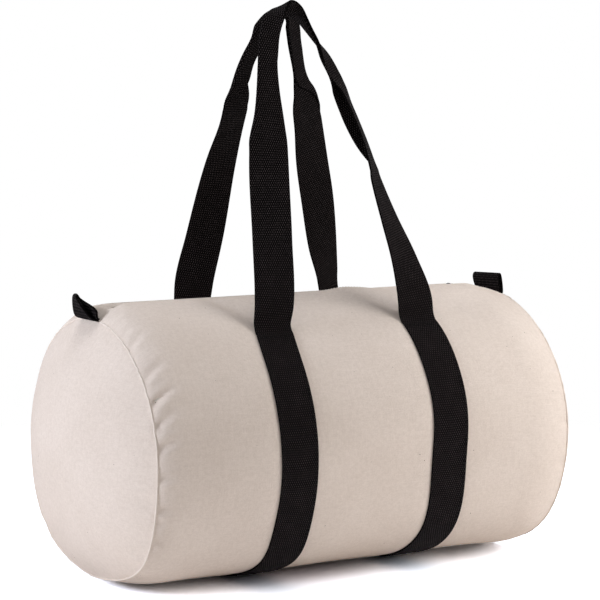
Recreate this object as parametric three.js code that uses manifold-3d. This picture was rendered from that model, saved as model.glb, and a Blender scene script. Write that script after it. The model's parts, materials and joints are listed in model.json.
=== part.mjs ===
// Barrel duffel bag: natural cotton canvas, black cotton webbing and a zip along the crown.
// Millimetres. X runs along the barrel, the front faces -Y, +Z is up, and the origin lies on
// the floor under the middle of the bag.
import * as THREE from 'three';
import { mergeVertices } from 'three/addons/utils/BufferGeometryUtils.js';
import Module from 'manifold-3d';

const wasm = await Module();
wasm.setup();

// Clearances
const SEWN_GAP = 0.3; // between pieces that are sewn or riveted together
const STITCH_GAP = 0.7; // round a handle's end, to the bag and to the girth strap it continues
const HINGE_GAP = 0.5; // beside a fold line

// Barrel and end panels
const BARREL_LENGTH = 442; // end seam to end seam
const BARREL_WIDTH = 284;
const BARREL_HEIGHT = 265; // floor to crown
const BASE_FLATTENING = 4; // depth that the weight takes off the round section
const SHOULDER_LENGTH = 45; // stretch where the barrel draws in towards an end seam
const END_SIDE_DRAW = 7; // each side's draw-in at the end seam
const END_CROWN_DROP = 14; // the crown's drop at the end seam
const END_BASE_LIFT = 5; // the base's lift at the end seam
const END_BULGE = 37; // how far an end panel stands out past its seam
const END_FULLNESS = 2.5; // exponent of the end panel's domed profile
const CANVAS = 2; // canvas with its seam allowances
const BINDING_WIDTH = 10;
const BINDING = 1.5; // bias tape round the seam allowance, inside the bag

// Webbing
const WEBBING_WIDTH = 38;
const WEBBING = 1.6;
const STRAP_OFFSET = 82; // middle of the bag to the middle of a girth strap
const STITCH_ANGLE = 53; // degrees up the side from the horizontal, where a handle leaves
const HANDLE_LEAD = 7; // length of handle that still lies along the bag
const HANDLE_LIFT = 2.6; // how far it has lifted off the bag by then
const HANDLE_TOP = 545; // floor to the top of the front handle
const REAR_HANDLE_DROP = 8; // how much lower the rear handle's top is
const HANDLE_TOP_SPACING = 34; // front to rear, between the two handles' tops
const ARCH_HALF_SPAN = 14; // bend at a handle's top, middle to leg
const ARCH_RISE = 10;
const FRONT_ARCH_OFFSET = -24; // the front bend's middle along X
const REAR_ARCH_OFFSET = -14;
const GRIP_SEPARATION = 3.4; // between the two layers of the folded grip, middle to middle

// End tabs
const TAB_HEIGHT = 21;
const TAB_HOLLOW = 6; // clear width inside the loop
const TAB_LEAN = 10; // degrees outwards
const TAB_CLEARANCE = 0.8; // under the tab's sewn end
const TAB_FOOT = 2; // half the two layers sewn together
const TAB_SEWN_HEIGHT = 3.2; // middle of the foot to the start of the hollow
const TAB_SWELL = 0.6; // share of the loop's height by which it has opened fully

// Mouth and zip
const MOUTH_INSET = 23; // end seam to the end of the mouth
const MOUTH_HINGE = 58; // crown line to the fold line of a mouth lip
const LIP_EDGE = 8; // crown line to the canvas edge beside the zip
const LIP_MITRE = 2.6; // how far the fold edge is cut back on the inside
const ZIP_VALLEY = 5; // how far the mouth's middle lies below the round of the crown
const VALLEY_FLOOR = 6; // crown line to the foot of the valley's slope
const LIP_SWELL = 3.5; // how far a lip's crest stands above the round
const LIP_CREST = 20; // crown line to the crest
const SWELL_EDGE = 50; // crown line to where a lip follows the round again
const TAPE = 0.8;
const TAPE_WIDTH = 18;
const TAPE_EDGE = 3.6; // crown line to the inner edge of the tape
const CHAIN_MARGIN = 4; // the chain's end to where the crown starts to drop
const TOOTH_PITCH = 4;
const TOOTH_ROOT = 1.3;
const TOOTH_HEAD = 1.8; // wider than the root, so that the teeth lock
const TOOTH_REACH = 0.9; // past the crown line
const BEAD_WIDTH = 1.3; // the cord along the tape that the teeth grip
const CHAIN_HEIGHT = 2.6;
const SLIDER_LENGTH = 16;
const SLIDER_NOSE_WIDTH = 10;
const SLIDER_TAIL_WIDTH = 8.4;
const SLIDER_PLATE = 1.2;
const SLIDER_CLEARANCE = 0.4; // between the chain and the slider's plates
const SLIDER_FLANGE = 0.9;
const WEDGE_LENGTH = 4.2;
const WEDGE_WIDTH = 4.6;
const BRIDGE_INNER_RADIUS = 1.7;
const BRIDGE_BAR = 1.2;
const BRIDGE_WIDTH = 2;
const PULLER_LENGTH = 26;
const PULLER_EYE_WIDTH = 5.4;
const PULLER_END_WIDTH = 8;
const PULLER = 1.6;
const PULLER_BAR = 1.8; // the eye's end bar, which turns under the bridge
const PULLER_EYE = 3.2; // the eye's opening along the puller
const PULLER_EYE_CLEARANCE = 0.4; // beside the bridge

// Facets
const SECTION_STEPS = 36;
const DOME_STEPS = 7;
const LIP_STEPS = 5; // from the fold line to the tape's outer edge
const SEWN_STEPS = 3; // over the stretch where lip and tape are sewn together
const MOUTH_END_STEPS = 3; // from the level crown to the mouth's end
const ARC_STEPS = 10;
const RIBBON_STEPS = 3;
const SHOULDER_STATIONS = [0, 0.3, 0.55, 0.8, 1]; // shares of the shoulder's length
const ARCH_TURNS = [180, 135, 90, 45, 0]; // degrees round a handle's bend, left to right

// Colours seen in the part
const CANVAS_COLOUR = 0xd8ccc0;
const BINDING_COLOUR = 0xe6ded2;
const WEBBING_COLOUR = 0x1d181a;
const TAPE_COLOUR = 0x1a1a1c;
const TEETH_COLOUR = 0x101012;
const SLIDER_COLOUR = 0x2a2a2d;

const RIGHT = 1;
const LEFT = -1;
const REAR = 1;
const FRONT = -1;

const radians = THREE.MathUtils.degToRad;
const lerp = THREE.MathUtils.lerp;
const smoothstep = THREE.MathUtils.smoothstep;

const BASE = WEBBING + SEWN_GAP; // the canvas stands on the girth straps
const SEAM = BARREL_LENGTH / 2;
const mouthHalf = SEAM - MOUTH_INSET;
const shoulderStart = SEAM - SHOULDER_LENGTH;
const chainHalf = shoulderStart - CHAIN_MARGIN;

// Round section of the bag

/** Half width, half height and middle height of the canvas section at x. */
function sectionAt(x) {
  const run = Math.max(0, Math.abs(x) - shoulderStart) / SHOULDER_LENGTH;
  const draw = run * run;
  const top = BARREL_HEIGHT - END_CROWN_DROP * draw;
  const bottom = BASE - BASE_FLATTENING + END_BASE_LIFT * draw;
  return {
    halfWidth: BARREL_WIDTH / 2 - END_SIDE_DRAW * draw,
    halfHeight: (top - bottom) / 2,
    middle: (top + bottom) / 2,
  };
}

/** Rise of the mouth above the round section: a valley for the zip and a swell on each lip. */
function mouthRise(x, depth) {
  const share = 1 - smoothstep(Math.abs(x), shoulderStart, mouthHalf);
  if (depth > LIP_CREST) {
    return share * LIP_SWELL * (1 - smoothstep(depth, LIP_CREST, SWELL_EDGE));
  }
  return share * lerp(-ZIP_VALLEY, LIP_SWELL, smoothstep(depth, VALLEY_FLOOR, LIP_CREST));
}

/** Point of the section at x, angle degrees up from the front, inset millimetres inwards. */
function skinPoint(x, angle, inset) {
  const { halfWidth, halfHeight, middle } = sectionAt(x);
  const y = -(halfWidth - inset) * Math.cos(radians(angle));
  const height = (halfHeight - inset) * Math.sin(radians(angle));
  const rise = height > 0 ? mouthRise(x, Math.abs(y)) : 0;
  return new THREE.Vector3(x, y, Math.max(middle + height + rise, BASE + inset));
}

/** Angle at which the barrel's section is a given distance in front of the crown line. */
function angleAtDepth(depth) {
  return THREE.MathUtils.radToDeg(Math.acos(depth / (BARREL_WIDTH / 2)));
}

function spread(from, to, steps) {
  return Array.from({ length: steps + 1 }, (_, step) => lerp(from, to, step / steps));
}

// Solids from rings of points

function signedVolume(points, triangles) {
  const cross = new THREE.Vector3();
  return triangles.reduce((sum, [a, b, c]) => {
    cross.crossVectors(points[b], points[c]);
    return sum + points[a].dot(cross) / 6;
  }, 0);
}

/** Closed solid from points and triangles, turned so that its faces point out. */
function closedSolid(points, triangles) {
  const outward = signedVolume(points, triangles) > 0;
  const faces = outward ? triangles : triangles.map(([a, b, c]) => [a, c, b]);
  const geometry = new THREE.BufferGeometry();
  geometry.setFromPoints(points);
  geometry.setIndex(faces.flat());
  geometry.computeVertexNormals();
  return geometry;
}

/** Triangles that join neighbouring rings of equal size. */
function ringWalls(ringCount, ringSize, first = 0) {
  const triangles = [];
  for (let ring = 0; ring < ringCount - 1; ring += 1) {
    for (let side = 0; side < ringSize; side += 1) {
      const a = first + ring * ringSize + side;
      const b = first + ring * ringSize + ((side + 1) % ringSize);
      triangles.push([a, b, b + ringSize], [a, b + ringSize, a + ringSize]);
    }
  }
  return triangles;
}

/** Loft through flat rings, each an outer row of points and the inner row walked back. */
function stripSolid(rings) {
  const size = rings[0].length;
  const last = (rings.length - 1) * size;
  const triangles = ringWalls(rings.length, size);
  for (let side = 0; side < size / 2 - 1; side += 1) {
    const across = size - 1 - side;
    triangles.push([side, across, across - 1], [side, across - 1, side + 1]);
    triangles.push([last + side, last + across - 1, last + across]);
    triangles.push([last + side, last + side + 1, last + across - 1]);
  }
  return closedSolid(rings.flat(), triangles);
}

/** Open-ended tube between outer and inner rings. */
function tubeSolid(outerRings, innerRings) {
  const size = outerRings[0].length;
  const count = outerRings.length;
  const inner = count * size;
  const innerWalls = ringWalls(count, size, inner).map(([a, b, c]) => [a, c, b]);
  const triangles = [...ringWalls(count, size), ...innerWalls];
  for (let side = 0; side < size; side += 1) {
    const next = (side + 1) % size;
    const last = (count - 1) * size;
    triangles.push([side, inner + next, next], [side, inner + side, inner + next]);
    triangles.push([last + side, last + next, inner + last + next]);
    triangles.push([last + side, inner + last + next, inner + last + side]);
  }
  return closedSolid([...outerRings.flat(), ...innerRings.flat()], triangles);
}

/** Strip of the bag's skin over a row of angles, with its own row on the inside. */
function skinStrip(stations, outer, inner) {
  return stripSolid(stations.map((x) => [
    ...outer.angles.map((angle) => skinPoint(x, angle, outer.inset)),
    ...inner.angles.map((angle) => skinPoint(x, angle, inner.inset)).reverse(),
  ]));
}

/** Whole ring of the bag's skin between two insets. */
function skinTube(stations, outerInset, innerInset) {
  const angles = spread(0, 360, SECTION_STEPS).slice(0, -1);
  const ringsAt = (inset) => stations.map((x) => angles.map((angle) => skinPoint(x, angle, inset)));
  return tubeSolid(ringsAt(outerInset), ringsAt(innerInset));
}

// Joins and cuts

function toManifold(geometry) {
  const bare = geometry.clone();
  bare.deleteAttribute('normal');
  bare.deleteAttribute('uv');
  const merged = mergeVertices(bare);
  return new wasm.Manifold(new wasm.Mesh({
    numProp: 3,
    vertProperties: new Float32Array(merged.attributes.position.array),
    triVerts: new Uint32Array(merged.index.array),
  }));
}

function fromManifold(solid) {
  const { vertProperties, triVerts } = solid.getMesh();
  const geometry = new THREE.BufferGeometry();
  geometry.setAttribute('position', new THREE.BufferAttribute(vertProperties, 3));
  geometry.setIndex(new THREE.BufferAttribute(triVerts, 1));
  geometry.computeVertexNormals();
  return geometry;
}

/** Flat outline pushed through a thickness, centred on its own plane. */
function plate(shape, thickness) {
  const settings = { depth: thickness, bevelEnabled: false, curveSegments: ARC_STEPS };
  return new THREE.ExtrudeGeometry(shape, settings).translate(0, 0, -thickness / 2);
}

// Canvas panels

function mainPanel() {
  const shoulder = SHOULDER_STATIONS.map((run) => shoulderStart + run * SHOULDER_LENGTH);
  const stations = [...shoulder.map((x) => -x).reverse(), ...shoulder];
  const barrel = toManifold(skinTube(stations, 0, CANVAS));
  const slotLength = 2 * (mouthHalf + HINGE_GAP);
  const slotWidth = 2 * (MOUTH_HINGE + HINGE_GAP);
  const slot = new THREE.BoxGeometry(slotLength, slotWidth, BARREL_HEIGHT);
  slot.translate(0, 0, BARREL_HEIGHT);
  return fromManifold(barrel.subtract(toManifold(slot)));
}

/** Domed end panel, revolved about X and drawn to the end seam's oval. */
function endPanel(side) {
  const { halfWidth, halfHeight, middle } = sectionAt(SEAM);
  const dome = (radius, height) => spread(0, 1, DOME_STEPS).map((share) => {
    const reach = Math.sin(share * Math.PI / 2);
    return new THREE.Vector2(radius * reach, height * (1 - reach ** END_FULLNESS));
  });
  const outside = dome(halfWidth, END_BULGE);
  const inside = dome(halfWidth - CANVAS, END_BULGE - CANVAS).reverse();
  const panel = new THREE.LatheGeometry([...outside, ...inside].reverse(), SECTION_STEPS);
  panel.rotateZ(-side * Math.PI / 2);
  panel.scale(1, 1, halfHeight / halfWidth);
  return panel.translate(side * (SEAM + SEWN_GAP), 0, middle);
}

function seamBinding(side) {
  const outerEnd = side * SEAM;
  const innerEnd = side * (SEAM - BINDING_WIDTH);
  const inset = CANVAS + SEWN_GAP;
  return skinTube([Math.min(outerEnd, innerEnd), Math.max(outerEnd, innerEnd)], inset, inset + BINDING);
}

// Mouth lips and zip

const mouthEnd = spread(shoulderStart, mouthHalf, MOUTH_END_STEPS);
const mouthStations = [...mouthEnd.map((x) => -x).reverse(), ...mouthEnd];

// Depths over which a lip and its tape are sewn together
const sewnDepths = spread(TAPE_EDGE + TAPE_WIDTH, LIP_EDGE, SEWN_STEPS);

/** Row of angles at some depths, on the front or mirrored to the rear. */
function crownRow(side, depths) {
  const row = depths.map(angleAtDepth);
  return side === FRONT ? row : row.map((angle) => 180 - angle);
}

function mouthLip(side) {
  const rowFrom = (depth) => {
    const free = spread(depth, sewnDepths[0], LIP_STEPS).slice(0, -1);
    return crownRow(side, [...free, ...sewnDepths]);
  };
  const outside = { angles: rowFrom(MOUTH_HINGE), inset: 0 };
  const inside = { angles: rowFrom(MOUTH_HINGE - LIP_MITRE), inset: CANVAS };
  return skinStrip(mouthStations, outside, inside);
}

/** Zip tape under a lip, lofted underside first so that its top has the facets of the lip's underside. */
function zipTape(side) {
  const inset = CANVAS + SEWN_GAP;
  const angles = crownRow(side, [...sewnDepths, TAPE_EDGE]);
  return skinStrip(mouthStations, { angles, inset: inset + TAPE }, { angles, inset });
}

const zipHeight = BARREL_HEIGHT - ZIP_VALLEY - CANVAS - SEWN_GAP - TAPE / 2;
const beadOuter = TAPE_EDGE - SEWN_GAP;
const beadInner = beadOuter - BEAD_WIDTH;

/** One half of the chain: a bead with dovetail teeth that reach past the crown line. */
function zipTeeth(side) {
  const stagger = side === FRONT ? 0 : TOOTH_PITCH / 2;
  const count = Math.floor(2 * (chainHalf - TOOTH_PITCH) / TOOTH_PITCH);
  const firstTooth = -(count - 1) * TOOTH_PITCH / 2 - TOOTH_PITCH / 4 + stagger;
  const comb = new THREE.Shape();
  comb.moveTo(-chainHalf, beadOuter);
  comb.lineTo(-chainHalf, beadInner);
  for (let tooth = 0; tooth < count; tooth += 1) {
    const middle = firstTooth + tooth * TOOTH_PITCH;
    comb.lineTo(middle - TOOTH_ROOT / 2, beadInner);
    comb.lineTo(middle - TOOTH_HEAD / 2, -TOOTH_REACH);
    comb.lineTo(middle + TOOTH_HEAD / 2, -TOOTH_REACH);
    comb.lineTo(middle + TOOTH_ROOT / 2, beadInner);
  }
  comb.lineTo(chainHalf, beadInner);
  comb.lineTo(chainHalf, beadOuter);
  const chain = plate(comb, CHAIN_HEIGHT);
  if (side === FRONT) {
    chain.rotateX(Math.PI);
  }
  return chain.translate(0, 0, zipHeight);
}

const wedgeStart = chainHalf + SLIDER_CLEARANCE;
const sliderNose = wedgeStart + WEDGE_LENGTH + SLIDER_PLATE;
const sliderTail = sliderNose - SLIDER_LENGTH;
const plateInner = CHAIN_HEIGHT / 2 + SLIDER_CLEARANCE;
const sliderTop = zipHeight + plateInner + SLIDER_PLATE;

/** Slider body: two plates with side flanges, held apart by the wedge that parts the teeth. */
function zipSlider() {
  const shield = new THREE.Shape();
  shield.moveTo(sliderTail, -SLIDER_TAIL_WIDTH / 2);
  shield.lineTo(sliderNose - SLIDER_PLATE, -SLIDER_NOSE_WIDTH / 2);
  shield.lineTo(sliderNose, -SLIDER_NOSE_WIDTH / 4);
  shield.lineTo(sliderNose, SLIDER_NOSE_WIDTH / 4);
  shield.lineTo(sliderNose - SLIDER_PLATE, SLIDER_NOSE_WIDTH / 2);
  shield.lineTo(sliderTail, SLIDER_TAIL_WIDTH / 2);
  const wedge = new THREE.Shape();
  wedge.moveTo(wedgeStart, 0);
  wedge.lineTo(wedgeStart + WEDGE_LENGTH / 2, -WEDGE_WIDTH / 2);
  wedge.lineTo(wedgeStart + WEDGE_LENGTH, 0);
  wedge.lineTo(wedgeStart + WEDGE_LENGTH / 2, WEDGE_WIDTH / 2);
  const flange = (side) => {
    const edge = new THREE.Shape();
    edge.moveTo(sliderTail, side * SLIDER_TAIL_WIDTH / 2);
    edge.lineTo(sliderNose - SLIDER_PLATE, side * SLIDER_NOSE_WIDTH / 2);
    edge.lineTo(sliderNose - SLIDER_PLATE, side * (SLIDER_NOSE_WIDTH / 2 - SLIDER_FLANGE));
    edge.lineTo(sliderTail, side * (SLIDER_TAIL_WIDTH / 2 - SLIDER_FLANGE));
    return edge;
  };
  const tapeClear = TAPE / 2 + SLIDER_CLEARANCE;
  const flangeDepth = plateInner + SLIDER_PLATE - tapeClear;
  const plateMiddle = plateInner + SLIDER_PLATE / 2;
  const flangeMiddle = tapeClear + flangeDepth / 2;
  const solids = [plate(wedge, 2 * plateInner + SLIDER_PLATE)];
  for (const level of [-1, 1]) {
    solids.push(plate(shield, SLIDER_PLATE).translate(0, 0, level * plateMiddle));
    for (const side of [FRONT, REAR]) {
      solids.push(plate(flange(side), flangeDepth).translate(0, 0, level * flangeMiddle));
    }
  }
  const body = solids.map(toManifold).reduce((joined, solid) => joined.add(solid));
  return fromManifold(body).translate(0, 0, zipHeight);
}

const pullerAxisX = (sliderNose + sliderTail) / 2;
const pullerCorner = Math.hypot(PULLER_BAR / 2, PULLER / 2);
const pullerAxisZ = sliderTop + pullerCorner + SEWN_GAP;

/** Bail over the slider's crown, with the puller's bar turning inside it. */
function zipBridge() {
  const outer = BRIDGE_INNER_RADIUS + BRIDGE_BAR;
  const foot = sliderTop + SEWN_GAP - pullerAxisZ;
  const arch = new THREE.Shape();
  arch.moveTo(outer, foot);
  arch.absarc(0, 0, outer, 0, Math.PI, false);
  arch.lineTo(-outer, foot);
  arch.lineTo(-BRIDGE_INNER_RADIUS, foot);
  arch.absarc(0, 0, BRIDGE_INNER_RADIUS, Math.PI, 0, true);
  arch.lineTo(BRIDGE_INNER_RADIUS, foot);
  return plate(arch, BRIDGE_WIDTH).rotateX(Math.PI / 2).translate(pullerAxisX, 0, pullerAxisZ);
}

/** Flat puller with an eye round the bridge, lying back along the chain. */
function zipPuller() {
  const outline = new THREE.Shape();
  const bar = PULLER_BAR / 2;
  const eyeEnd = -bar - PULLER_EYE;
  const tip = PULLER_END_WIDTH / 2;
  outline.moveTo(bar, -PULLER_EYE_WIDTH / 2);
  outline.lineTo(bar, PULLER_EYE_WIDTH / 2);
  outline.lineTo(eyeEnd, PULLER_EYE_WIDTH / 2);
  outline.lineTo(tip - PULLER_LENGTH, tip);
  outline.absarc(tip - PULLER_LENGTH, 0, tip, Math.PI / 2, Math.PI * 1.5, false);
  outline.lineTo(eyeEnd, -PULLER_EYE_WIDTH / 2);
  const eye = new THREE.Path();
  const eyeSide = BRIDGE_WIDTH / 2 + PULLER_EYE_CLEARANCE;
  eye.moveTo(-bar, -eyeSide);
  eye.lineTo(-bar, eyeSide);
  eye.lineTo(eyeEnd, eyeSide);
  eye.lineTo(eyeEnd, -eyeSide);
  outline.holes.push(eye);
  return plate(outline, PULLER).translate(pullerAxisX, 0, pullerAxisZ);
}

// Webbing

/** Girth strap, sewn from the front stitch line under the base to the rear one. */
function girthStrap(side) {
  const stitchGapAngle = THREE.MathUtils.radToDeg(STITCH_GAP / (BARREL_WIDTH / 2));
  const from = STITCH_ANGLE - stitchGapAngle;
  const to = -180 - from;
  const facets = spread(180, -360, SECTION_STEPS * 1.5);
  const angles = [from, ...facets.filter((angle) => angle < from && angle > to), to];
  const middle = side * STRAP_OFFSET;
  const stations = [middle - WEBBING_WIDTH / 2, middle + WEBBING_WIDTH / 2];
  return skinStrip(stations, { angles, inset: -SEWN_GAP - WEBBING }, { angles, inset: -SEWN_GAP });
}

// Rows of a handle's leg: share of its height, and how far it is folded there
const LEG_ROWS = [
  { height: 0.2, folded: 0 },
  { height: 0.5, folded: 0 },
  { height: 0.76, folded: 0.9 },
];
// Share of the way out from the bend to the strap, at the rows above
const LEG_SPREADS = {
  [FRONT]: { [LEFT]: [0.74, 0.58, 0.37], [RIGHT]: [0.9, 0.64, 0.36] },
  [REAR]: { [LEFT]: [0.82, 0.62, 0.36], [RIGHT]: [0.81, 0.53, 0.28] },
};
// Twist of each leg in degrees at the rows above
const LEG_TWISTS = {
  [FRONT]: { [LEFT]: [-7, -7, 0], [RIGHT]: [-20, -50, -85] },
  [REAR]: { [LEFT]: [-10, 12, 20], [RIGHT]: [-15, -5, -15] },
};

/** Control rows of a handle, from its left end over the bend to its right end. */
function handleRows(facing) {
  const lift = STITCH_GAP + WEBBING / 2;
  const angle = facing === FRONT ? STITCH_ANGLE : 180 - STITCH_ANGLE;
  const leadAngle = THREE.MathUtils.radToDeg(HANDLE_LEAD / (BARREL_WIDTH / 2));
  const stitch = skinPoint(0, angle, -lift);
  const leave = skinPoint(0, angle - facing * leadAngle, -lift - HANDLE_LIFT);
  const topDrop = facing === REAR ? REAR_HANDLE_DROP : 0;
  const archOffset = facing === REAR ? REAR_ARCH_OFFSET : FRONT_ARCH_OFFSET;
  const archHeight = HANDLE_TOP - topDrop - WEBBING_WIDTH / 4 - ARCH_RISE;
  const topDepth = facing * HANDLE_TOP_SPACING / 2;
  const depthAt = (z) => {
    const share = (z - stitch.z) / (archHeight + ARCH_RISE - stitch.z);
    return lerp(stitch.y, topDepth, share);
  };
  const legRows = (side) => {
    const footX = side * STRAP_OFFSET;
    const archX = archOffset + side * ARCH_HALF_SPAN;
    const rows = [stitch, leave].map(({ y, z }) => (
      { point: new THREE.Vector3(footX, y, z), twist: 0, folded: 0 }
    ));
    LEG_ROWS.forEach(({ height, folded }, row) => {
      const z = lerp(stitch.z, archHeight, height);
      const x = lerp(archX, footX, LEG_SPREADS[facing][side][row]);
      const point = new THREE.Vector3(x, depthAt(z), z);
      rows.push({ point, twist: LEG_TWISTS[facing][side][row], folded });
    });
    return rows;
  };
  const archRows = ARCH_TURNS.map((turn) => {
    const x = archOffset + ARCH_HALF_SPAN * Math.cos(radians(turn));
    const z = archHeight + ARCH_RISE * Math.sin(radians(turn));
    const share = 1 - turn / 180;
    const lastRow = LEG_ROWS.length - 1;
    const twists = LEG_TWISTS[facing];
    const twist = lerp(twists[LEFT][lastRow], twists[RIGHT][lastRow], share) / 2;
    return { point: new THREE.Vector3(x, depthAt(z), z), twist, folded: 1 };
  });
  return [...legRows(LEFT), ...archRows, ...legRows(RIGHT).reverse()];
}

/** Webbing section across its width and thickness: flat at 0, folded lengthwise at 1. */
function webbingSection(folded) {
  const wing = (WEBBING_WIDTH - GRIP_SEPARATION) / 2;
  const turns = [Math.PI * folded, Math.PI / 2 * folded, 0];
  const lengths = [wing, GRIP_SEPARATION, wing];
  const line = [new THREE.Vector2(0, 0)];
  turns.forEach((turn, part) => {
    const step = new THREE.Vector2(Math.cos(turn), Math.sin(turn)).multiplyScalar(lengths[part]);
    line.push(line[part].clone().add(step));
  });
  const box = new THREE.Box2().setFromPoints(line);
  const centre = box.getCenter(new THREE.Vector2());
  const offsets = line.map((_, corner) => {
    const before = turns[Math.max(corner - 1, 0)];
    const after = turns[Math.min(corner, turns.length - 1)];
    const bisector = (before + after) / 2 + Math.PI / 2;
    const reach = WEBBING / 2 / Math.cos((before - after) / 2);
    return new THREE.Vector2(Math.cos(bisector), Math.sin(bisector)).multiplyScalar(reach);
  });
  const centred = line.map((point) => point.clone().sub(centre));
  const near = centred.map((point, corner) => point.clone().add(offsets[corner]));
  const far = centred.map((point, corner) => point.clone().sub(offsets[corner]));
  return [...near, ...far.reverse()];
}

/** Carrying handle: webbing laid along its rows, folded lengthwise into the grip at the top. */
function handle(facing) {
  const rows = handleRows(facing);
  const curve = new THREE.CatmullRomCurve3(rows.map((row) => row.point), false, 'centripetal');
  const parts = rows.length - 1;
  const outward = new THREE.Vector3(0, facing, 0);
  const rings = spread(0, parts, parts * RIBBON_STEPS).map((place) => {
    const row = Math.min(Math.floor(place), parts - 1);
    const mix = place - row;
    const point = curve.getPoint(place / parts);
    const along = curve.getTangent(place / parts);
    const twist = radians(lerp(rows[row].twist, rows[row + 1].twist, mix));
    const normal = outward.clone().projectOnPlane(along).normalize().applyAxisAngle(along, twist);
    const across = new THREE.Vector3().crossVectors(along, normal).multiplyScalar(-facing);
    const section = webbingSection(lerp(rows[row].folded, rows[row + 1].folded, mix));
    return section.map(({ x, y }) => point.clone().addScaledVector(across, x).addScaledVector(normal, y));
  });
  return stripSolid(rings);
}

/** Loop of webbing sewn by both ends into the end seam at the crown. */
function endTab(side) {
  const bulge = TAB_HOLLOW / 2;
  const headHeight = TAB_HEIGHT - TAB_FOOT - WEBBING - bulge;
  const swellHeight = headHeight * TAB_SWELL;
  const hollowSwell = swellHeight + WEBBING / 4;
  const outer = bulge + WEBBING;
  const loop = new THREE.Shape();
  loop.moveTo(TAB_FOOT, 0);
  loop.lineTo(outer, swellHeight);
  loop.lineTo(outer, headHeight);
  loop.absarc(0, headHeight, outer, 0, Math.PI, false);
  loop.lineTo(-outer, swellHeight);
  loop.lineTo(-TAB_FOOT, 0);
  loop.absarc(0, 0, TAB_FOOT, Math.PI, 2 * Math.PI, false);
  const hollow = new THREE.Path();
  hollow.moveTo(0, TAB_SEWN_HEIGHT);
  hollow.lineTo(-bulge, hollowSwell);
  hollow.lineTo(-bulge, headHeight);
  hollow.absarc(0, headHeight, bulge, Math.PI, 0, true);
  hollow.lineTo(bulge, hollowSwell);
  loop.holes.push(hollow);
  const seamSlope = Math.atan(2 * END_CROWN_DROP / SHOULDER_LENGTH);
  const footRise = (TAB_FOOT + TAB_CLEARANCE) / Math.cos(seamSlope);
  const footHeight = BARREL_HEIGHT - END_CROWN_DROP + footRise;
  const tab = plate(loop, WEBBING_WIDTH).rotateX(Math.PI / 2);
  tab.rotateY(side * radians(TAB_LEAN));
  return tab.translate(side * (SEAM + SEWN_GAP / 2), 0, footHeight);
}

// The bag

const canvasFinish = { color: CANVAS_COLOUR, roughness: 0.95, metalness: 0 };
const bindingFinish = { color: BINDING_COLOUR, roughness: 0.95, metalness: 0 };
const webbingFinish = { color: WEBBING_COLOUR, roughness: 0.85, metalness: 0 };
const tapeFinish = { color: TAPE_COLOUR, roughness: 0.9, metalness: 0 };
const teethFinish = { color: TEETH_COLOUR, roughness: 0.45, metalness: 0 };
const sliderFinish = { color: SLIDER_COLOUR, roughness: 0.4, metalness: 0.6 };

const bag = new THREE.Group();

function addPiece(name, geometry, finish) {
  const mesh = new THREE.Mesh(geometry, new THREE.MeshStandardMaterial(finish));
  mesh.name = name;
  bag.add(mesh);
}

addPiece('main_panel', mainPanel(), canvasFinish);
for (const [place, side] of [['left', LEFT], ['right', RIGHT]]) {
  addPiece(`${place}_end_panel`, endPanel(side), canvasFinish);
  addPiece(`${place}_seam_binding`, seamBinding(side), bindingFinish);
  addPiece(`${place}_girth_strap`, girthStrap(side), webbingFinish);
  addPiece(`${place}_end_tab`, endTab(side), webbingFinish);
}
for (const [place, side] of [['front', FRONT], ['rear', REAR]]) {
  addPiece(`${place}_mouth_lip`, mouthLip(side), canvasFinish);
  addPiece(`${place}_zip_tape`, zipTape(side), tapeFinish);
  addPiece(`${place}_zip_teeth`, zipTeeth(side), teethFinish);
  addPiece(`${place}_handle`, handle(side), webbingFinish);
}
addPiece('zip_slider', zipSlider(), sliderFinish);
addPiece('zip_bridge', zipBridge(), sliderFinish);
addPiece('zip_puller', zipPuller(), sliderFinish);

export default bag;
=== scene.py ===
"""Looks of a barrel duffel bag in natural canvas and black webbing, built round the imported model.

Metres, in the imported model's frame: X runs along the barrel, the front faces -Y and +Z is up.
Angles on the barrel are degrees up from the front: 90 is the crown, 180 the rear, 270 the base.
"""

from __future__ import annotations

import json
import logging
import math
from collections.abc import Callable
from dataclasses import dataclass
from enum import Enum
from functools import partial, reduce

import bpy
import numpy as np
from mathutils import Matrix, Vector

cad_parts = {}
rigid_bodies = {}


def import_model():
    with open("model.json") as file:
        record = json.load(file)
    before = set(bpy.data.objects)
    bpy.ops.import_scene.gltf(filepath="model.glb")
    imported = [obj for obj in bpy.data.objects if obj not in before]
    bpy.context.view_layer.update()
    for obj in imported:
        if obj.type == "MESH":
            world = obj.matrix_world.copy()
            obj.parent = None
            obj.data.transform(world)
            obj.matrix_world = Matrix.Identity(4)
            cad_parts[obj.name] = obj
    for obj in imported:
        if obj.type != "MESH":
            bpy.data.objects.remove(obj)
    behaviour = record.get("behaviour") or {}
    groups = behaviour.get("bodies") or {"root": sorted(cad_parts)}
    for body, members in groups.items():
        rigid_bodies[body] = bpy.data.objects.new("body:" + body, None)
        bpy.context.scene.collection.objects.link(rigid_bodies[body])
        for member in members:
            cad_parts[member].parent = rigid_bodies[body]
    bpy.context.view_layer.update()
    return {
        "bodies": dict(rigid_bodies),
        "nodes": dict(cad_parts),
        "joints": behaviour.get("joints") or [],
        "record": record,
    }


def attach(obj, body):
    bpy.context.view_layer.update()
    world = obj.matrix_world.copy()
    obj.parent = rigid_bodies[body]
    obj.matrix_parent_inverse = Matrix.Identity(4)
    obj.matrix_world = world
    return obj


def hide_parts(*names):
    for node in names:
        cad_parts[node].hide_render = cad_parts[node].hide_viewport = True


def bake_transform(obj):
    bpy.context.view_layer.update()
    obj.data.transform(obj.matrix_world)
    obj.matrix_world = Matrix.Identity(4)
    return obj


LOG = logging.getLogger("duffel_bag")
TAU = 2 * math.pi
MM = 0.001
NEARLY = 1e-9
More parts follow.
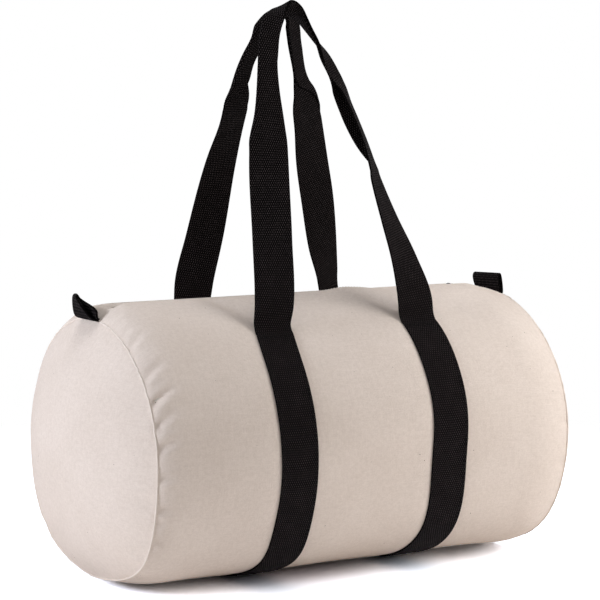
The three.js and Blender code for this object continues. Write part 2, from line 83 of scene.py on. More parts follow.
# Sockets of a Mix node that carry colours
MIX_FIRST_COLOUR = 6
MIX_SECOND_COLOUR = 7
MIX_COLOUR = 2
# Range that most values of a noise texture lie in
MOST_NOISE = (0.3, 0.7)
# Columns of a handle's rows
MIDDLE = slice(0, 3)
INWARD = slice(3, 6)
SHOWN = 6
CURL = 7
Array = np.ndarray
Laid = tuple[Array, Array]
Form = Callable[[Array, Array], Laid]
Placing = Callable[[Array, Array, Array], Array]
Pair = tuple[float, float]
Triple = tuple[float, float, float]
Colour = tuple[float, float, float, float]
WHITE = (1, 1, 1, 1)
Piece = bpy.types.Object
Material = bpy.types.Material
Socket = bpy.types.NodeSocket


class Side(Enum):
    """A side of the bag, as the sign of an axis."""

    @property
    def label(self) -> str:
        """The side's name in the names of pieces."""
        return self.name.lower()


class End(Side):
    """The two ends of the barrel, as signs of X."""

    LEFT = -1
    RIGHT = 1


class Face(Side):
    """The two long sides of the bag, as signs of Y."""

    FRONT = -1
    REAR = 1

    def angle(self, front_angle: Array) -> Array:
        """The angle on this side that mirrors an angle on the front."""
        return front_angle if self is Face.FRONT else 180 - front_angle


class Body(str, Enum):
    """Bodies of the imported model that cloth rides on."""

    BAG = "bag"
    FRONT_LIP = "front_lip"
    REAR_LIP = "rear_lip"
    FRONT_HANDLE = "front_handle_loop"
    REAR_HANDLE = "rear_handle_loop"
    LEFT_TAB = "left_tab"
    RIGHT_TAB = "right_tab"


class Slot(str, Enum):
    """Material slots of the record."""

    CANVAS = "canvas"
    BINDING = "binding"
    WEBBING = "webbing"
    TAPE = "zip_tape"
    TEETH = "zip_teeth"
    SLIDER = "slider"


# Mesh steps


def only(piece: Piece) -> None:
    """Makes a piece the only selected object and the active one.

    Args:
        piece: The piece to select.
    """
    bpy.ops.object.select_all(action="DESELECT")
    piece.select_set(True)
    bpy.context.view_layer.objects.active = piece


def name_piece(name: str) -> Piece:
    """Names the object that an operator has just added, and its mesh.

    Args:
        name: Name of the piece.

    Returns:
        The named object.
    """
    piece = bpy.context.active_object
    piece.name = name
    piece.data.name = name
    return piece


def smoothstep(value: Array, low: float, high: float) -> Array:
    """0 below low, 1 above high and a smooth climb between."""
    share = np.clip((value - low) / (high - low), 0, 1)
    return share * share * (3 - 2 * share)


def mean_waves(turn: Array, counts: tuple[int, ...], phases: Array) -> Array:
    """Mean of sine waves that close round a circle."""
    return sum(np.sin(turn * count + phase) for count, phase in zip(counts, phases)) / len(counts)


def vertex_array(mesh: bpy.types.Mesh) -> Array:
    """Reads the vertices of a mesh.

    Args:
        mesh: The mesh to read.

    Returns:
        One row of x, y and z for each vertex.
    """
    flat = np.empty(len(mesh.vertices) * 3)
    mesh.vertices.foreach_get("co", flat)
    return flat.reshape(-1, 3)


def set_vertices(mesh: bpy.types.Mesh, points: Array) -> None:
    """Moves the vertices of a mesh to rows of x, y and z."""
    mesh.vertices.foreach_set("co", points.astype(np.float32).ravel())
    mesh.update()


def edit_mesh(piece: Piece, *steps: Callable[[], object]) -> None:
    """Runs steps of mesh editing on the whole of a piece.

    Args:
        piece: The piece to change.
        *steps: Calls to make in edit mode, with everything selected.
    """
    only(piece)
    bpy.ops.object.mode_set(mode="EDIT")
    bpy.ops.mesh.select_all(action="SELECT")
    for step in steps:
        step()
    bpy.ops.object.mode_set(mode="OBJECT")


def cloth_grid(name: str, across: int, along: int, form: Form) -> Piece:
    """Adds a flat grid of faces and lays it in its form, with a UV map in metres of cloth.

    Args:
        name: Name of the piece.
        across: Faces across the cloth.
        along: Faces along the cloth.
        form: Gives the points and the cloth coordinates for shares across and along.

    Returns:
        The new piece, one layer of faces.
    """
    bpy.ops.object.select_all(action="DESELECT")
    bpy.ops.mesh.primitive_grid_add(x_subdivisions=across, y_subdivisions=along, size=1)
    piece = name_piece(name)
    mesh = piece.data
    flat = vertex_array(mesh)
    points, cloth = form(flat[:, 0] + 0.5, flat[:, 1] + 0.5)
    set_vertices(mesh, points)
    corners = np.empty(len(mesh.loops), dtype=np.int32)
    mesh.loops.foreach_get("vertex_index", corners)
    mesh.uv_layers[0].data.foreach_set("uv", cloth[corners].astype(np.float32).ravel())
    return piece


def apply_modifier(piece: Piece, kind: str, **settings: object) -> None:
    """Adds one modifier to a piece and applies it.

    Args:
        piece: The piece to change.
        kind: Blender's name for the modifier.
        **settings: Values of the modifier.
    """
    only(piece)
    modifier = piece.modifiers.new(kind.lower(), kind)
    for key, value in settings.items():
        setattr(modifier, key, value)
    bpy.ops.object.modifier_apply(modifier=modifier.name)


def face_along(piece: Piece, outward: Callable[[Array], Array]) -> None:
    """Turns a layer of faces over if it points against the given direction.

    Args:
        piece: One layer of faces.
        outward: Gives the outward direction at rows of points.
    """
    mesh = piece.data
    count = len(mesh.polygons)
    normals = np.empty(count * 3)
    centres = np.empty(count * 3)
    mesh.polygons.foreach_get("normal", normals)
    mesh.polygons.foreach_get("center", centres)
    centres = centres.reshape(-1, 3)
    if np.sum(normals.reshape(-1, 3) * outward(centres)) < 0:
        edit_mesh(piece, bpy.ops.mesh.flip_normals)


def smooth(piece: Piece, degrees: float = 40) -> None:
    """Shades a piece smooth, with edges sharper than an angle left crisp."""
    only(piece)
    bpy.ops.object.shade_smooth_by_angle(angle=math.radians(degrees))


def thicken(piece: Piece, thickness: float, offset: float, degrees: float = 40) -> None:
    """Gives a layer its thickness, inwards for an offset of -1, and shades it smooth."""
    apply_modifier(piece, "SOLIDIFY", thickness=thickness, offset=offset)
    smooth(piece, degrees)


def repeat(piece: Piece, count: int, pitch: float) -> None:
    """Repeats a piece along X."""
    apply_modifier(piece, "ARRAY", count=count, use_relative_offset=False, use_constant_offset=True,
                   constant_offset_displace=(pitch, 0, 0))


def soften(piece: Piece, width: float, segments: int, degrees: float) -> None:
    """Rounds the edges of a piece that are sharper than an angle."""
    apply_modifier(piece, "BEVEL", width=width, segments=segments, limit_method="ANGLE",
                   angle_limit=math.radians(degrees))


def join(name: str, parts: list[Piece], merge: float = 0.0) -> Piece:
    """Joins parts into one piece.

    Args:
        name: Name of the joined piece.
        parts: Objects to join; the first one stays.
        merge: Distance under which vertices become one, or 0.

    Returns:
        The joined piece.
    """
    only(parts[0])
    for part in parts[1:]:
        part.select_set(True)
    bpy.ops.object.join()
    piece = name_piece(name)
    if merge:
        edit_mesh(piece, partial(bpy.ops.mesh.remove_doubles, threshold=merge))
    return piece


def stitch_row(name: str, length: float, stitch: Stitch, placing: Placing) -> Piece:
    """A row of stitches: one is modelled, repeated along a line, and laid on its seam.

    Args:
        name: Name of the piece.
        length: Length of the row.
        stitch: Sizes of one stitch.
        placing: Gives the points for distances along, across and up from the seam.

    Returns:
        The row as one piece.
    """
    count = max(1, int(length / stitch.pitch))
    bpy.ops.object.select_all(action="DESELECT")
    bpy.ops.mesh.primitive_uv_sphere_add(segments=stitch.sides, ring_count=stitch.rings, radius=0.5)
    piece = name_piece(name)
    edit_mesh(
        piece,
        partial(bpy.ops.transform.rotate, value=math.pi / 2, orient_axis="Y", center_override=(0, 0, 0)),
        partial(bpy.ops.transform.resize, value=(stitch.length, stitch.thread, stitch.thread)),
    )
    repeat(piece, count, stitch.pitch)
    local = vertex_array(piece.data)
    start = (length - (count - 1) * stitch.pitch) / 2
    set_vertices(piece.data, placing(local[:, 0] + start, local[:, 1], local[:, 2]))
    smooth(piece)
    return piece


def dress(piece: Piece, material: Material) -> Piece:
    """Gives a piece its material.

    Args:
        piece: The piece to finish.
        material: Its only material.

    Returns:
        The same piece.
    """
    piece.data.materials.clear()
    piece.data.materials.append(material)
    return piece


def report(piece: Piece) -> None:
    """Logs a finished piece with its face count."""
    LOG.info("%s: %d faces", piece.name, len(piece.data.polygons))


# Finishes


class NodeBench:
    """Adds and wires the nodes of a material or of the world."""

    def __init__(self, owner: Material | bpy.types.World) -> None:
        """Starts with an empty tree.

        Args:
            owner: The material or world whose nodes are made.
        """
        owner.use_nodes = True
        self.owner = owner
        self.tree = owner.node_tree
        self.tree.nodes.clear()

    def feed(self, target: Socket, value: object) -> None:
        """Links a socket, or sets a constant, on an input.

        Args:
            target: The input.
            value: A socket or a constant.
        """
        if isinstance(value, Socket):
            self.tree.links.new(value, target)
        else:
            target.default_value = value

    def add(self, kind: str, inputs: dict[str | int, object], **settings: object) -> bpy.types.Node:
        """Adds a shader node.

        Args:
            kind: Blender's name for the node, without ShaderNode.
            inputs: Sockets or constants, by the name or number of the input that they feed.
            **settings: Values of the node itself.

        Returns:
            The new node.
        """
        node = self.tree.nodes.new("ShaderNode" + kind)
        for name, value in settings.items():
            setattr(node, name, value)
        for place, value in inputs.items():
            self.feed(node.inputs[place], value)
        return node

    def show(self, shader: bpy.types.Node) -> None:
        """Makes a shader what the material or the world shows."""
        kind = "OutputWorld" if isinstance(self.owner, bpy.types.World) else "OutputMaterial"
        self.add(kind, {"Surface": shader.outputs[0]})

    def math(self, operation: str, *values: object) -> Socket:
        """A Math node on sockets or numbers; returns its result."""
        return self.add("Math", dict(enumerate(values)), operation=operation).outputs[0]

    def total(self, *values: object) -> Socket:
        """Sum of sockets or numbers."""
        return reduce(partial(self.math, "ADD"), values)

    def wave(self, axis: Socket, pitch: float) -> Socket:
        """Sine of a distance, one period per pitch."""
        return self.math("SINE", self.math("MULTIPLY", axis, TAU / pitch))

    def uv(self) -> Socket:
        """The cloth's own coordinates, in metres."""
        return self.add("UVMap", {}).outputs["UV"]

    def place(self) -> Socket:
        """Object coordinates, in metres."""
        return self.add("TexCoord", {}).outputs["Object"]

    def axes(self, vector: Socket) -> tuple[Socket, ...]:
        """Splits a vector into its three parts."""
        return tuple(self.add("SeparateXYZ", {0: vector}).outputs)

    def stretch(self, vector: Socket, scale: Triple) -> Socket:
        """Scales a vector by one number on each axis."""
        return self.add("Mapping", {"Vector": vector, "Scale": scale}).outputs[0]

    def noise(self, vector: Socket, scale: float, detail: float = 2, roughness: float = 0.5) -> Socket:
        """Noise texture; returns its grey value."""
        inputs = {"Vector": vector, "Scale": scale, "Detail": detail, "Roughness": roughness}
        return self.add("TexNoise", inputs).outputs[0]

    def specks(self, vector: Socket, spacing: float, radius: float, share: float) -> Socket:
        """1 in the small spots that some of the cells laid over a surface have, 0 elsewhere.

        Args:
            vector: Coordinates of the surface, in metres.
            spacing: Size of a cell.
            radius: Radius of the largest spot.
            share: Share of the cells that have a spot.

        Returns:
            The socket of the spots.
        """
        cells = self.add("TexVoronoi", {"Vector": vector, "Scale": 1 / spacing}).outputs
        pick, size, _ = self.axes(cells["Color"])
        reach = self.math("MULTIPLY", size, radius / spacing)
        spot = self.math("LESS_THAN", cells["Distance"], reach)
        return self.math("MULTIPLY", spot, self.math("LESS_THAN", pick, share))

    def span(self, value: Socket, low: float, high: float, to_low: float = 0, to_high: float = 1) -> Socket:
        """Maps a range of a value to another range, clamped and smooth at its ends."""
        inputs = {"Value": value, "From Min": low, "From Max": high, "To Min": to_low, "To Max": to_high}
        return self.add("MapRange", inputs, interpolation_type="SMOOTHSTEP").outputs[0]

    def mix(self, factor: object, first: object, second: object) -> Socket:
        """Mixes two colours by a factor."""
        inputs = {"Factor": factor, MIX_FIRST_COLOUR: first, MIX_SECOND_COLOUR: second}
        return self.add("Mix", inputs, data_type="RGBA").outputs[MIX_COLOUR]

    def bump(self, height: Socket, distance: float, strength: float = 1,
             under: Socket | None = None) -> Socket:
        """Bump node over an optional earlier one.

        Args:
            height: Socket of the height.
            distance: Depth of the relief.
            strength: Share of the relief that shows.
            under: Normal of an earlier bump.

        Returns:
            The socket of the normal.
        """
        inputs = {"Height": height, "Distance": distance, "Strength": strength}
        if under is not None:
            inputs["Normal"] = under
        return self.add("Bump", inputs).outputs[0]

    def surface(self, colour: object, normal: object, roughness: object, gloss: float,
                metal: float = 0) -> Material:
        """Shows a Principled shader fed with sockets or constants.

        Args:
            colour: Base colour.
            normal: Normal of the relief.
            roughness: Roughness.
            gloss: Specular level.
            metal: Share of metal.

        Returns:
            The finished material.
        """
        inputs = {"Base Color": colour, "Normal": normal, "Roughness": roughness,
                  "Specular IOR Level": gloss, "Metallic": metal}
        self.show(self.add("BsdfPrincipled", inputs))
        return self.owner


@dataclass(frozen=True)
class CanvasFinish:
    """Undyed cotton canvas in plain weave: a fine uneven grain, seed specks and a soft mottle."""

    name: str = "natural_canvas"
    pale: Colour = (0.885, 0.770, 0.684, 1)
    deep: Colour = (0.725, 0.612, 0.526, 1)
    seed: Colour = (0.215, 0.140, 0.085, 1)
    thread: float = 0.0009
    weave_depth: float = 0.00012
    grain_depth: float = 0.00015
    grain_size: float = 0.0015
    blotch_size: float = 0.0042
    slub_length: float = 0.02
    slub_width: float = 0.0009
    mottle_size: float = 0.07
    crease_size: float = 0.018
    crease_depth: float = 0.0004
    seed_spacing: float = 0.006
    seed_radius: float = 0.00055
    seed_share: float = 0.16
    grain_tone: float = 0.3
    slub_range: Pair = (0.75, 1.25)
    slub_tone: float = 0.16
    blotch_tone: float = 0.3
    mottle_tone: float = 0.24
    weave_strength: float = 0.7
    roughness: float = 0.92
    gloss: float = 0.12

    def material(self) -> Material:
        """Builds the canvas material.

        Returns:
            The material, which reads the cloth's UV map in metres.
        """
        bench = NodeBench(bpy.data.materials.new(self.name))
        cloth = bench.uv()
        warp, weft, _ = bench.axes(cloth)
        weave = bench.math("MULTIPLY", bench.wave(warp, self.thread), bench.wave(weft, self.thread))
        grain = bench.noise(cloth, 1 / self.grain_size, detail=3, roughness=0.6)
        along = bench.stretch(cloth, (1 / self.slub_length, 1 / self.slub_width, 1))
        across = bench.stretch(cloth, (1 / self.slub_width, 1 / self.slub_length, 1))
        slub = bench.math("ADD", bench.noise(along, 1), bench.noise(across, 1))
        mottle = bench.noise(cloth, 1 / self.mottle_size, detail=4, roughness=0.55)
        blotch = bench.noise(cloth, 1 / self.blotch_size, detail=3, roughness=0.6)
        tone = bench.total(
            bench.span(grain, *MOST_NOISE, 0, self.grain_tone),
            bench.span(slub, *self.slub_range, 0, self.slub_tone),
            bench.span(blotch, *MOST_NOISE, 0, self.blotch_tone),
            bench.span(mottle, *MOST_NOISE, 0, self.mottle_tone),
        )
        colour = bench.mix(tone, self.pale, self.deep)
        seeds = bench.specks(cloth, self.seed_spacing, self.seed_radius, self.seed_share)
        creased = bench.noise(cloth, 1 / self.crease_size, detail=5, roughness=0.6)
        creases = bench.bump(creased, self.crease_depth)
        grained = bench.bump(bench.total(grain, slub, blotch), self.grain_depth, 1, creases)
        woven = bench.bump(weave, self.weave_depth, self.weave_strength, grained)
        return bench.surface(bench.mix(seeds, colour, self.seed), woven, self.roughness, self.gloss)


@dataclass(frozen=True)
class WebbingFinish:
    """Heavy cotton webbing: staggered rows of raised yarns, with a painted highlight where the fibres catch
    light.
    """

    name: str = "black_webbing"
    yarn: Colour = (0.0020, 0.0014, 0.0014, 1)
    # Painted highlight: colour of the raised yarns where they catch light
    crest: Colour = (0.108, 0.087, 0.087, 1)
    lint: Colour = (0.30, 0.28, 0.27, 1)
    across_pitch: float = 0.0021
    along_pitch: float = 0.0044
    depth: float = 0.0004
    fibre_size: float = 0.0011
    fibre_depth: float = 0.00012
    # Size of the patches in which the painted highlight is stronger
    worn_sheen_size: float = 0.017
    lint_spacing: float = 0.017
    lint_radius: float = 0.0005
    lint_share: float = 0.06
    # Ranges and strengths of the painted highlight's patchiness, from the fuzz and from patchy worn fibres
    fuzz_range: Pair = (0.3, 0.75)
    fuzz_tone: Pair = (0.3, 0.8)
    worn_sheen_range: Pair = (0.4, 0.75)
    worn_sheen_tone: float = 0.2
    crest_range: Pair = (0.3, 0.85)
    rib_strength: float = 0.8
    roughness: float = 0.9
    gloss: float = 0.03

    def material(self) -> Material:
        """Builds the webbing material.

        Returns:
            The material, which reads the webbing's UV map in metres.
        """
        bench = NodeBench(bpy.data.materials.new(self.name))
        cloth = bench.uv()
        across, along, _ = bench.axes(cloth)
        rows = bench.math("MULTIPLY", bench.wave(across, self.across_pitch),
                          bench.wave(along, self.along_pitch))
        fuzz = bench.noise(cloth, 1 / self.fibre_size, detail=3, roughness=0.6)
        # Patchy noise that scales the painted highlight, standing in for worn fibres that catch more light
        worn_sheen = bench.noise(cloth, 1 / self.worn_sheen_size, detail=3)
        strength = bench.total(bench.span(fuzz, *self.fuzz_range, *self.fuzz_tone),
                               bench.span(worn_sheen, *self.worn_sheen_range, 0, self.worn_sheen_tone))
        lit = bench.math("MULTIPLY", bench.span(rows, *self.crest_range), strength)
        colour = bench.mix(lit, self.yarn, self.crest)
        lint = bench.specks(cloth, self.lint_spacing, self.lint_radius, self.lint_share)
        ribbed = bench.bump(rows, self.depth, self.rib_strength, bench.bump(fuzz, self.fibre_depth))
        return bench.surface(bench.mix(lint, colour, self.lint), ribbed, self.roughness, self.gloss)


@dataclass(frozen=True)
class TapeFinish:
    """Close-woven tape or thread with a fine rib across it."""

    name: str
    dark: Colour
    light: Colour
    rib: float
    rib_depth: float = 0.0001
    rib_strength: float = 0.6
    grain_scale: float = 700
    grain_range: Pair = (0.25, 0.75)
    roughness: float = 0.8
    gloss: float = 0.08

    def material(self) -> Material:
        """Builds the tape material.

        Returns:
            The material, which reads Object coordinates.
        """
        bench = NodeBench(bpy.data.materials.new(self.name))
        place = bench.place()
        along, across, up = bench.axes(place)
        rib = bench.wave(bench.total(along, across, up), self.rib)
        grain = bench.noise(place, self.grain_scale, detail=3)
        tone = bench.math("MULTIPLY", bench.span(rib, -1, 1), bench.span(grain, *self.grain_range))
        ribbed = bench.bump(rib, self.rib_depth, self.rib_strength)
        return bench.surface(bench.mix(tone, self.dark, self.light), ribbed, self.roughness, self.gloss)


@dataclass(frozen=True)
class HardFinish:
    """Moulded teeth or enamelled metal, with a faint grain and rubbed high spots."""

    name: str
    body: Colour
    rubbed: Colour
    roughness: float
    metal: float
    gloss: float
    grain_scale: float = 1400
    grain_depth: float = 0.00006
    grain_strength: float = 0.5
    patch_scale: float = 260
    rubbed_range: Pair = (0.45, 0.75)
    smoother: float = 0.07
    rougher: float = 0.08

    def material(self) -> Material:
        """Builds the hard material.

        Returns:
            The material, which reads Object coordinates.
        """
        bench = NodeBench(bpy.data.materials.new(self.name))
        place = bench.place()
        grain = bench.noise(place, self.grain_scale, detail=3)
        patches = bench.noise(place, self.patch_scale, detail=4, roughness=0.6)
        colour = bench.mix(bench.span(patches, *self.rubbed_range), self.body, self.rubbed)
        rough = bench.span(patches, *MOST_NOISE, self.roughness - self.smoother,
                           self.roughness + self.rougher)
        grained = bench.bump(grain, self.grain_depth, self.grain_strength)
        return bench.surface(colour, grained, rough, self.gloss, self.metal)


# Shape of the filled canvas


@dataclass(frozen=True)
class Stitch:
    """Sizes of one stitch of a row."""

    length: float = 0.0024
    pitch: float = 0.0032
    thread: float = 0.0007
    sides: int = 8
    rings: int = 5


@dataclass(frozen=True)
class Dent:
    """A soft hollow, or a swell where depth is negative, pressed into the canvas."""

    x: float
    angle: float
    length: float
    width: float
    turn: float
    depth: float


@dataclass(frozen=True)
class Pucker:
    """A short crease that runs from an end seam into the barrel."""

    end: End
    angle: float
    reach: float
    half: float
    depth: float
    lean: float


@dataclass(frozen=True)
class EndDraw:
    """How the barrel draws in towards one end seam, and where the mouth's swell fades out.

    slimming rounds off the upper half of the section at the seam; firmness is the share of the
    lower half's sag that the seam takes away, or adds where it is negative.
    """

    crown_drop: float
    crown_power: float
    base_lift: float
    side_draw: float
    side_power: float
    slimming: float
    firmness: float
    fade: Pair


@dataclass(frozen=True)
class Barrel:
    """The canvas barrel: sizes, and where each point of the filled cloth lies.

    The arches are the base's rise between the straps and beyond them, cinch is how far a strap presses
    in, and the calm lengths are how far from crown and seams the cloth's unevenness takes to grow.
    """

    length: float = 0.442
    width: float = 0.284
    height: float = 0.265
    floor_gap: float = 0.0019
    flattening: float = 0.001
    middle_arch: float = 0.0014
    outer_arch: float = 0.0028
    shoulder: float = 0.045
    left: EndDraw = EndDraw(
        crown_drop=0.014, crown_power=4, base_lift=0.009, side_draw=0.008, side_power=5,
        slimming=0, firmness=-0.2, fade=(0.196, 0.214),
    )
    right: EndDraw = EndDraw(
        crown_drop=0.010, crown_power=1.4, base_lift=0.004, side_draw=0.009, side_power=2,
        slimming=0.10, firmness=0.6, fade=(0.172, 0.204),
    )
    sag_power: float = 0.62
    sag_fade: float = 0.8
    bulge: float = 0.037
    fullness: float = 2.5
    mouth_half: float = 0.198
    fold_depth: float = 0.058
    lip_edge: float = 0.008
    zip_valley: float = 0.005
    valley_floor: float = 0.006
    front_swell: float = 0.0022
    rear_swell: float = -0.0018
    lip_crest: float = 0.020
    swell_edge: float = 0.050
    cloth: float = 0.0014
    strap_offset: float = 0.082
    cinch: float = 0.0012
    cinch_half: float = 0.024
    lump: float = 0.0021
    lump_turns: tuple[int, ...] = (2, 3, 4, 5, 7, 9)
    lump_waves: Pair = (8, 26)
    calm_crown: float = 0.045
    calm_seam: float = 0.022
    dents: tuple[Dent, ...] = (
        Dent(-0.098, 72, 0.028, 0.010, -60, 0.0036),
        Dent(0.063, 70, 0.026, 0.009, -60, 0.0028),
        Dent(0.131, 60, 0.020, 0.011, -50, 0.0026),
        Dent(-0.060, 62, 0.030, 0.014, -30, 0.0016),
        Dent(0.042, 85, 0.024, 0.016, 0, -0.0036),
        Dent(0.100, 82, 0.022, 0.014, 0, 0.0030),
        Dent(0.118, 97, 0.022, 0.014, 0, 0.0032),
    )
    puckers: tuple[Pucker, ...] = (
        Pucker(End.LEFT, 26, 0.017, 0.0044, 0.0046, 0.5),
        Pucker(End.LEFT, 17, 0.016, 0.0042, 0.0040, 0.45),
        Pucker(End.LEFT, 7, 0.015, 0.0044, 0.0034, 0.35),
        Pucker(End.LEFT, 38, 0.020, 0.0046, 0.0030, 0.5),
        Pucker(End.LEFT, -5, 0.014, 0.0044, 0.0030, 0.1),
        Pucker(End.LEFT, -18, 0.014, 0.0046, 0.0026, -0.2),
        Pucker(End.LEFT, -34, 0.014, 0.0048, 0.0022, -0.3),
        Pucker(End.LEFT, 56, 0.018, 0.0046, 0.0026, 0.4),
    )
    crest_shift: float = 1.8
    crest_share: float = 0.5
    small_puckers: int = 60
    small_reach: Pair = (0.007, 0.018)
    small_half: Pair = (0.002, 0.004)
    small_depth: Pair = (0.0004, 0.0017)
    small_lean: Pair = (-0.3, 0.3)
    seam_flat: float = 0.0032
    seed: int = 7

    @property
    def seam(self) -> float:
        """Distance from the middle to an end seam."""
        return self.length / 2

    @property
    def level(self) -> float:
        """Distance from the middle to where the shoulders start."""
        return self.seam - self.shoulder

    @property
    def radius(self) -> float:
        """Mean radius, used to turn angles into lengths of cloth."""
        return (self.width + self.height) / 4

    def run_out(self, x: Array) -> Array:
        """How far along a shoulder x is: 0 on the level part, 1 at an end seam."""
        return np.maximum(0, np.abs(x) - self.level) / self.shoulder

    def section(self, x: Array) -> tuple[Array, Array, Array]:
        """Half width, half height and middle height of the section at x.

        Args:
            x: Places along the barrel.

        Returns:
            The half widths, half heights and middle heights.
        """
        run = self.run_out(x)
        drops = [end.crown_drop * run ** end.crown_power for end in (self.left, self.right)]
        lifts = [end.base_lift * run ** 2 for end in (self.left, self.right)]
        draws = [end.side_draw * run ** end.side_power for end in (self.left, self.right)]
        top = self.height - np.where(x < 0, *drops)
        bay_middle = (self.seam + self.strap_offset) / 2
        bay_half = (self.seam - self.strap_offset) / 2
        middle_bay = self.middle_arch * np.maximum(0, 1 - (x / self.strap_offset) ** 2)
        outer_bay = self.outer_arch * np.maximum(0, 1 - ((np.abs(x) - bay_middle) / bay_half) ** 2)
        bottom = self.floor_gap - self.flattening + middle_bay + outer_bay + np.where(x < 0, *lifts)
        return self.width / 2 - np.where(x < 0, *draws), (top - bottom) / 2, (top + bottom) / 2

    def spread(self, x: Array, turn: Array) -> Array:
        """Share of the half width at a turn: full below the middle, slimmer above it at an end.

        Args:
            x: Places along the barrel.
            turn: Angles up from the front, in radians.

        Returns:
            Shares with the sign of the turn's cosine.
        """
        near_seam = self.run_out(x) ** 2
        slimmer = 1 + near_seam * np.where(x < 0, self.left.slimming, self.right.slimming)
        softness = 1 - near_seam * np.where(x < 0, self.left.firmness, self.right.firmness)
        plain = np.abs(np.cos(turn))
        sag = (plain ** self.sag_power - plain) * smoothstep(plain, 0, self.sag_fade) * softness
        return np.sign(np.cos(turn)) * np.where(np.sin(turn) < 0, plain + sag, plain ** slimmer)

    def angle_at(self, depth: float) -> float:
        """Angle at which the section is a distance in front of the crown line."""
        return math.degrees(math.acos(depth / (self.width / 2)))

    def around(self, angle: Array, middle: float) -> Array:
        """Distance round the barrel from a middle angle, the short way."""
        return np.radians((angle - middle + 180) % 360 - 180) * self.radius

    def mouth_rise(self, x: Array, y: Array) -> Array:
        """Rise of the mouth above the round: a valley for the zip and a swell on the lips.

        Args:
            x: Places along the barrel.
            y: Places across it.

        Returns:
            The rises, negative where the cloth lies lower.
        """
        depth = np.abs(y)
        swell = np.where(y < 0, self.front_swell, self.rear_swell)
        shares = [1 - smoothstep(np.abs(x), *end.fade) for end in (self.left, self.right)]
        climb = smoothstep(depth, self.valley_floor, self.lip_crest)
        valley = (self.zip_valley + swell) * climb - self.zip_valley
        fall = swell * (1 - smoothstep(depth, self.lip_crest, self.swell_edge))
        return np.where(x < 0, *shares) * np.where(depth > self.lip_crest, fall, valley)

    def lumps(self, x: Array, angle: Array) -> Array:
        """Slow unevenness of the filling, closed round the barrel.

        Args:
            x: Places along the barrel.
            angle: Degrees up from the front.

        Returns:
            Distances out from the barrel, some of them negative.
        """
        draws = np.random.default_rng(self.seed)
        total = np.zeros_like(x)
        for turns in self.lump_turns:
            waves = draws.uniform(*self.lump_waves)
            phase, slant = draws.uniform(0, TAU, 2)
            swell = np.sin(np.radians(angle) * turns + phase) * np.cos(x * waves + slant)
            total += swell * self.lump / math.sqrt(turns)
        return total

    def all_puckers(self) -> list[Pucker]:
        """The large puckers and a scatter of small ones along both end seams.

        Returns:
            The puckers, the large ones first.
        """
        draws = np.random.default_rng(self.seed + 1)
        scatter = [
            Pucker(end, draws.uniform(-90, 270), draws.uniform(*self.small_reach),
                   draws.uniform(*self.small_half), draws.uniform(*self.small_depth),
                   draws.uniform(*self.small_lean))
            for end in End for _ in range(self.small_puckers)
        ]
        return [*self.puckers, *scatter]

    def seam_creases(self, x: Array, angle: Array) -> Array:
        """Relief of the puckers, which leave the seam itself smooth.

        Args:
            x: Places along the barrel.
            angle: Degrees up from the front.

        Returns:
            Distances out from the barrel, negative in the hollows.
        """
        total = np.zeros_like(x)
        for pucker in self.all_puckers():
            away = self.seam - pucker.end.value * x
            offset = self.around(angle, pucker.angle) - pucker.lean * away
            hollow = np.exp(-(offset / pucker.half) ** 2)
            crest = np.exp(-(offset / pucker.half + self.crest_shift) ** 2)
            fade = np.exp(-(away / pucker.reach) ** 2) * (1 - np.exp(-(away / self.seam_flat) ** 2))
            total -= pucker.depth * fade * (hollow - self.crest_share * crest)
        return total

    def relief(self, x: Array, angle: Array) -> Array:
        """How far the filled cloth stands out from the plain round section.

        Args:
            x: Places along the barrel.
            angle: Degrees up from the front.

        Returns:
            Distances out from the section.
        """
        hollow = np.zeros_like(x)
        for dent in self.dents:
            turn = math.radians(dent.turn)
            right = x - dent.x
            up = self.around(angle, dent.angle)
            along = right * math.cos(turn) + up * math.sin(turn)
            aside = up * math.cos(turn) - right * math.sin(turn)
            hollow += dent.depth * np.exp(-(along / dent.length) ** 2 - (aside / dent.width) ** 2)
        girth = self.cinch * np.exp(-((np.abs(x) - self.strap_offset) / self.cinch_half) ** 4)
        off_crown = 1 - np.exp(-(self.around(angle, 90) / self.calm_crown) ** 4)
        off_seam = 1 - np.exp(-((self.seam - np.abs(x)) / self.calm_seam) ** 2)
        swell = (self.lumps(x, angle) - girth) * off_crown - hollow
        return swell * off_seam + self.seam_creases(x, angle)

    def point(self, x: Array, angle: Array, lift: Array | float = 0.0,
              relief: Array | float | None = None) -> Array:
        """Points of the cloth's outside.

        Args:
            x: Places along the barrel.
            angle: Degrees up from the front.
            lift: Distance out from the cloth.
            relief: Unevenness to use in place of the cloth's own.

        Returns:
            Rows of x, y and z, none of them below the floor.
        """
        half_width, half_height, middle = self.section(x)
        out = lift + (self.relief(x, angle) if relief is None else relief)
        turn = np.radians(angle)
        y = -(half_width + out) * self.spread(x, turn)
        rise = np.where(np.sin(turn) > 0, self.mouth_rise(x, y), 0)
        z = middle + (half_height + out) * np.sin(turn) + rise
        lowest = np.maximum(self.floor_gap - lift, 0)
        return np.column_stack([x, y, np.maximum(z, lowest)])

    def outward(self, points: Array) -> Array:
        """Directions away from the barrel's long axis.

        Args:
            points: Rows of x, y and z.

        Returns:
            One direction for each point, square to X.
        """
        away = points - np.array([0, 0, self.height / 2])
        away[:, 0] = 0
        return away


